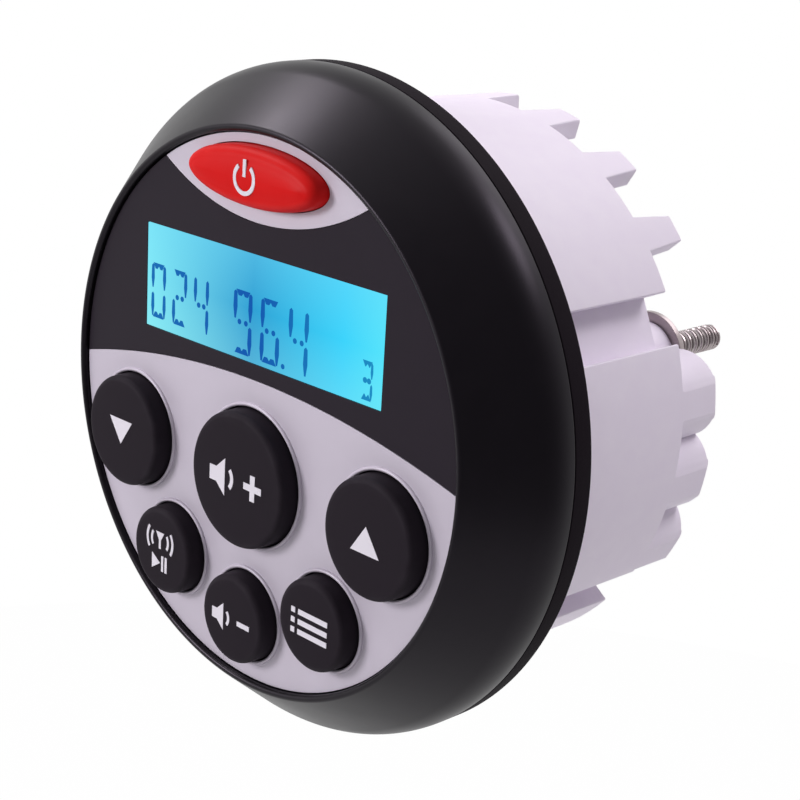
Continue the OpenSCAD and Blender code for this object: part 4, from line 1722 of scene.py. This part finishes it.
@dataclass
class Housing:
    """The cast body behind the panel, the screws in its channels and the cable grommet."""

    edge: float = 0.25
    head_r: float = 1.6
    head_h: float = 1.6
    head_round: float = 0.7
    shank_r: float = 0.9
    shank_end: float = -10.5
    tip_r: float = 0.7
    tip_end: float = -10.9
    cross_w: float = 1.7
    cross_t: float = 0.42
    cross_depth: float = 0.7
    screw_sharp: float = 35.0

    def build(self, nodes: dict[str, bpy.types.Object]) -> None:
        """Make the body, its screws and its grommet.

        Args:
            nodes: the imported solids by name.
        """
        body = MeshKit.softened("cast_body", nodes["rear_housing"], self.edge)
        dress(body, Palette.cast, CHASSIS, "housing_cast", "rear_housing", edges=True)
        self.screws()
        bore, r, waist, lip = SIZES.grommet_bore, SIZES.grommet_r, SIZES.grommet_waist, SIZES.grommet_lip
        front, rear = SIZES.y_wall - lip, SIZES.y_root + lip
        section = rounded([(bore, front, 0.2), (r, front, 0.4),
                           (r, SIZES.y_wall, 0.0), (waist, SIZES.y_wall, 0.0),
                           (waist, SIZES.y_root, 0.0), (r, SIZES.y_root, 0.0),
                           (r, rear, 1.0), (bore, rear, 0.8)], 6)
        grommet = MeshKit.lathe("grommet_ring", section, 96, (0.0, SIZES.grommet_z), ring=True)
        dress(grommet, Palette.rubber, CHASSIS, "seal_rubber", "cable_grommet")

    def screws(self) -> None:
        """Set a cross-head screw in each channel."""
        r, h, bend = self.head_r, self.head_h, self.head_round
        dome = arc((r - bend, h - bend), bend, 0.0, 80.0, 6)
        profile = [(0.0, self.tip_end), (self.tip_r, self.tip_end), (self.shank_r, self.shank_end),
                   (self.shank_r, 0.0), (r, 0.0), *dome, (0.0, h)]
        screw = MeshKit.lathe("cross_head_screw", profile, 32)
        slot = bar((0.0, 0.0), self.cross_w, self.cross_t)
        for turn in (0.0, math.pi / 2.0):
            cut = MeshKit.flat("cross_cut", [slot], h - self.cross_depth, h + 1.0)
            cut.data.transform(Matrix.Rotation(turn, 4, "Y"))
            carve = screw.modifiers.new("cross", "BOOLEAN")
            carve.operation = "DIFFERENCE"
            carve.solver = "EXACT"
            carve.object = cut
            MeshKit.bake(screw)
            bpy.data.objects.remove(cut)
        MeshKit.smooth(screw.data, self.screw_sharp)
        tree = TreeKit("screws_in_channels", [("Screw", "NodeSocketObject", screw)])
        info = tree.add("GeometryNodeObjectInfo")
        tree.join(tree.given.outputs["Screw"], info.inputs["Object"])
        spread = tree.spread(info.outputs["Geometry"])
        where = tree.add("GeometryNodeInputPosition")
        parts = tree.add("ShaderNodeSeparateXYZ")
        tree.join(where.outputs[0], parts.inputs[0])
        turn = tree.math("ARCTAN2", parts.outputs["X"], parts.outputs["Z"])
        euler = tree.add("ShaderNodeCombineXYZ")
        tree.join(turn, euler.inputs["Y"])
        tree.join(euler.outputs[0], spread.inputs["Rotation"])
        tree.close(spread.outputs["Instances"], Palette.steel)
        spots = [clock(a, SIZES.screw_pitch_r) for a in SIZES.channel_angles]
        screws = tree.apply(places("channel_screws", [(x, 0.0, z) for x, z in spots]))
        bpy.data.objects.remove(screw)
        dress(screws, Palette.steel, CHASSIS, "fastener_steel", "bezel_screws", edges=True)


@dataclass
class StudSet:
    """The threaded mounting studs with their washers and nuts."""

    pitch: float = 0.7
    core_r: float = 1.7
    core_over: float = 0.02
    ridge_r: float = 0.28
    shank_r: float = 1.8
    thread_lead: float = 0.6
    thread_run_out: float = 0.75
    washer_edge: float = 0.12
    nut_edge: float = 0.28

    def build(self, nodes: dict[str, bpy.types.Object]) -> None:
        """Make the studs, the washers and the nuts.

        Args:
            nodes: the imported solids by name.
        """
        spots = [clock(a, SIZES.stud_pitch_r) for a in SIZES.stud_angles]
        start, stop = SIZES.y_nut_back - self.thread_lead, SIZES.stud_end - self.thread_run_out
        turns = (stop - start) / self.pitch
        tree = TreeKit("threaded_studs", [("Turns", "NodeSocketFloat", turns),
                                          ("Thread radius", "NodeSocketFloat", self.core_r * MM),
                                          ("Thread length", "NodeSocketFloat", (stop - start) * MM),
                                          ("Ridge radius", "NodeSocketFloat", self.ridge_r * MM)])
        spiral = tree.add("GeometryNodeCurveSpiral")
        spiral.inputs["Resolution"].default_value = 40
        for given, taken in (("Turns", "Rotations"), ("Thread radius", "Start Radius"),
                             ("Thread radius", "End Radius"), ("Thread length", "Height")):
            tree.join(tree.given.outputs[given], spiral.inputs[taken])
        ridge = tree.circle(8, tree.given.outputs["Ridge radius"])
        thread = tree.turned(tree.swept(spiral.outputs["Curve"], ridge, caps=True), -math.pi / 2)
        tree.close(tree.spread(thread).outputs["Instances"], Palette.steel)
        studs = tree.apply(places("threaded_studs", [(x, start, z) for x, z in spots]))
        r, root, end = self.core_r + self.core_over, SIZES.stud_root, SIZES.stud_end
        section = [(0.0, root), (self.shank_r, root), (self.shank_r, start - 0.1), (r, start), (r, stop),
                   (1.85, end - 0.7), (1.9, end - 0.45), (1.45, end), (0.0, end)]
        for i, spot in enumerate(spots):
            MeshKit.merge(studs, MeshKit.lathe(f"stud_core_{i}", section, 48, spot))
        dress(studs, Palette.steel, CHASSIS, "fastener_steel", "mounting_studs", edges=True)
        for name, node, edge in (("washer_pair", "stud_washers", self.washer_edge),
                                 ("nut_pair", "stud_nuts", self.nut_edge)):
            pair = MeshKit.softened(name, nodes[node], edge)
            dress(pair, Palette.steel, CHASSIS, "fastener_steel", node, edges=True)


class Inside:
    """Finishes of the solids that stay as they are, most of them inside the closed body."""

    FINISHES: dict[str, tuple[Surface, tuple[str, ...]]] = {
        "plate": (Palette.dark_film, ("face_plate",)),
        "glass": (Palette.display, ("display_glass",)),
        "guide": (Palette.milky, ("display_backlight",)),
        "tin": (Palette.tin, ("display_frame", "tuner_can")),
        "strip": (Palette.rubber, ("display_connector_strip", "housing_seal")),
        "membrane": (Palette.silicone, ("keypad_membrane",)),
        "boards": (Palette.board, ("control_board", "main_board")),
        "chips": (Palette.chip, ("controller_chip", "memory_chip", "regulator", "amplifier_chip",
                                 "board_link_header")),
        "screws": (Palette.steel, ("control_board_screws", "main_board_screws")),
        "socket": (Palette.ivory, ("harness_socket",)),
        "pad": (Palette.pad, ("thermal_pad",)),
        "capacitors": (Palette.sleeve, ("filter_capacitors",)),
        "coil": (Palette.copper, ("choke_coil",)),
    }

    @classmethod
    def dress(cls, nodes: dict[str, bpy.types.Object]) -> None:
        """Give each of these solids its finish.

        Args:
            nodes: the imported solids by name.
        """
        for label, (finish, names) in cls.FINISHES.items():
            for name in names:
                for held in nodes[name].material_slots:
                    held.material = finish.material()
            LOG.info("dressed %s: %s", label, ", ".join(names))


@dataclass(frozen=True)
class Softbox:
    """A square lamp that shines at the part: where it stands, how wide and strong it is, and its tint."""

    name: str
    at: Place
    width: float
    power: float
    tint: Tint = (255.0, 250.0, 255.0)

    def light(self) -> None:
        """Put the lamp in the scene."""
        data = bpy.data.lights.new(self.name, "AREA")
        data.shape = "SQUARE"
        data.size = self.width
        data.energy = self.power
        data.color = linear(self.tint)[:3]
        lamp = bpy.data.objects.new(self.name, data)
        lamp.location = self.at
        lamp.rotation_euler = (-Vector(self.at)).to_track_quat("-Z", "Y").to_euler()
        bpy.context.scene.collection.objects.link(lamp)


@dataclass
class Studio:
    """The camera, the lamps, the world and the floor."""

    camera_at: Place = (0.1846, -0.1728, 0.0801)
    azimuth: float = 44.71
    elevation: float = 17.5
    roll: float = 3.45
    lens: float = 81.41
    floor_z: float = -0.3
    floor_r: float = 0.6
    floor_tone: float = 0.9
    floor_shown: float = 0.98
    room_side: float = 0.29
    room_top: float = 0.03
    room_tint: Tint = (253.0, 248.0, 255.0)
    gloss_front: float = 0.045
    gloss_from: float = -0.75
    gloss_to: float = 0.15
    lamps: tuple[Softbox, ...] = field(default_factory=lambda: (
        Softbox("top_left_box", (-0.46, -0.12, 0.52), 0.17, 1.4),
        Softbox("back_box", (0.04, 0.5, 0.55), 0.5, 1.6),
        Softbox("front_box", (-0.46, -0.72, 0.24), 0.24, 5.0),
        Softbox("right_box", (0.46, 0.36, 0.7), 0.3, 2.9),
    ))

    def camera(self) -> None:
        """Make the camera at the photograph's place."""
        a, e, r = (math.radians(v) for v in (self.azimuth, self.elevation, self.roll))
        back = Vector((math.sin(a) * math.cos(e), -math.cos(a) * math.cos(e), math.sin(e)))
        right = Vector((math.cos(a), math.sin(a), 0.0))
        up = back.cross(right)
        side = math.cos(r) * right + math.sin(r) * up
        top = -math.sin(r) * right + math.cos(r) * up
        data = bpy.data.cameras.new("camera")
        data.sensor_width = 36.0
        data.lens = self.lens
        data.clip_start = 0.01
        eye = bpy.data.objects.new("camera", data)
        turn = Matrix((side, top, back)).transposed().to_4x4()
        eye.matrix_world = Matrix.Translation(self.camera_at) @ turn
        bpy.context.scene.collection.objects.link(eye)
        bpy.context.scene.camera = eye

    def world(self) -> None:
        """Light the room softly, a little more from above; show it white, dimmer in gloss at the front."""
        world = bpy.data.worlds.new("soft_room")
        bpy.context.scene.world = world
        kit = NodeKit.blank(world)
        place = kit.add("ShaderNodeTexCoord")
        parts = kit.add("ShaderNodeSeparateXYZ")
        kit.join(place.outputs["Generated"], parts.inputs[0])
        level = kit.math("MULTIPLY_ADD", parts.outputs["Z"], self.room_top, self.room_side)
        soft = kit.add("ShaderNodeBackground")
        soft.inputs["Color"].default_value = linear(self.room_tint)
        kit.join(level, soft.inputs["Strength"])
        white = kit.add("ShaderNodeBackground")
        white.inputs["Strength"].default_value = 1.0
        white.inputs["Color"].default_value = (1.0, 1.0, 1.0, 1.0)
        turn = math.radians(self.azimuth)
        away = kit.add("ShaderNodeVectorMath", operation="DOT_PRODUCT")
        away.inputs[1].default_value = (-math.sin(turn), math.cos(turn), 0.0)
        kit.join(place.outputs["Generated"], away.inputs[0])
        behind = kit.add("ShaderNodeMapRange", interpolation_type="SMOOTHSTEP")
        behind.inputs["From Min"].default_value = self.gloss_from
        behind.inputs["From Max"].default_value = self.gloss_to
        behind.inputs["To Min"].default_value = self.gloss_front
        behind.inputs["To Max"].default_value = 1.0
        kit.join(away.outputs["Value"], behind.inputs["Value"])
        mix = kit.add("ShaderNodeMixShader")
        kit.join(self.seen(kit, behind.outputs["Result"]), mix.inputs[0])
        kit.join(soft.outputs[0], mix.inputs[1])
        kit.join(white.outputs[0], mix.inputs[2])
        kit.join(mix.outputs[0], kit.add("ShaderNodeOutputWorld").inputs["Surface"])

    @staticmethod
    def seen(kit: NodeKit, gloss: object = 1.0) -> bpy.types.NodeSocket:
        """Return how much a ray shows the surroundings: from the camera, off gloss and through glass.

        Args:
            kit: the nodes of the surroundings.
            gloss: share for rays off gloss, a socket or a number.

        Returns:
            The share from 0 to 1.
        """
        path = kit.add("ShaderNodeLightPath")
        mirrored = kit.math("MULTIPLY", path.outputs["Is Glossy Ray"], gloss)
        first = kit.math("MAXIMUM", path.outputs["Is Camera Ray"], mirrored)
        return kit.math("MAXIMUM", first, path.outputs["Is Transmission Ray"])

    def floor(self) -> None:
        """Make the white floor well below the part, which hangs in its panel."""
        edge = circle((0.0, 0.0), self.floor_r)
        mesh = bpy.data.meshes.new("floor")
        mesh.from_pydata([(x, y, self.floor_z) for x, y in edge], [], [tuple(range(len(edge)))])
        floor = MeshKit.link("floor", mesh)
        pale = bpy.data.materials.new("pale_floor")
        kit = NodeKit.blank(pale)
        matt = kit.add("ShaderNodeBsdfDiffuse")
        matt.inputs["Color"].default_value = (self.floor_tone, self.floor_tone, self.floor_tone, 1.0)
        glow = kit.add("ShaderNodeEmission")
        glow.inputs["Strength"].default_value = 1.0
        mix = kit.add("ShaderNodeMixShader")
        kit.join(kit.math("MULTIPLY", self.seen(kit), self.floor_shown), mix.inputs[0])
        kit.join(matt.outputs[0], mix.inputs[1])
        kit.join(glow.outputs[0], mix.inputs[2])
        kit.join(mix.outputs[0], kit.add("ShaderNodeOutputMaterial").inputs["Surface"])
        floor.data.materials.append(pale)

    def build(self) -> None:
        """Set up the whole studio."""
        self.camera()
        self.world()
        self.floor()
        for lamp in self.lamps:
            lamp.light()
        bpy.context.scene.view_settings.view_transform = "Standard"


def main() -> None:
    """Load the part, and build and dress its pieces."""
    logging.basicConfig(level=logging.INFO, format="%(name)s: %(message)s")
    for old in list(bpy.data.objects):
        bpy.data.objects.remove(old)
    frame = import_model()
    nodes: dict[str, bpy.types.Object] = frame["nodes"]
    Studio().build()
    Inside.dress(nodes)
    Bezel().build()
    FaceFilms().build()
    DisplayPanel().build()
    KeySet().build()
    Housing().build(nodes)
    StudSet().build(nodes)
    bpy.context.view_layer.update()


if __name__ == "__main__":
    main()
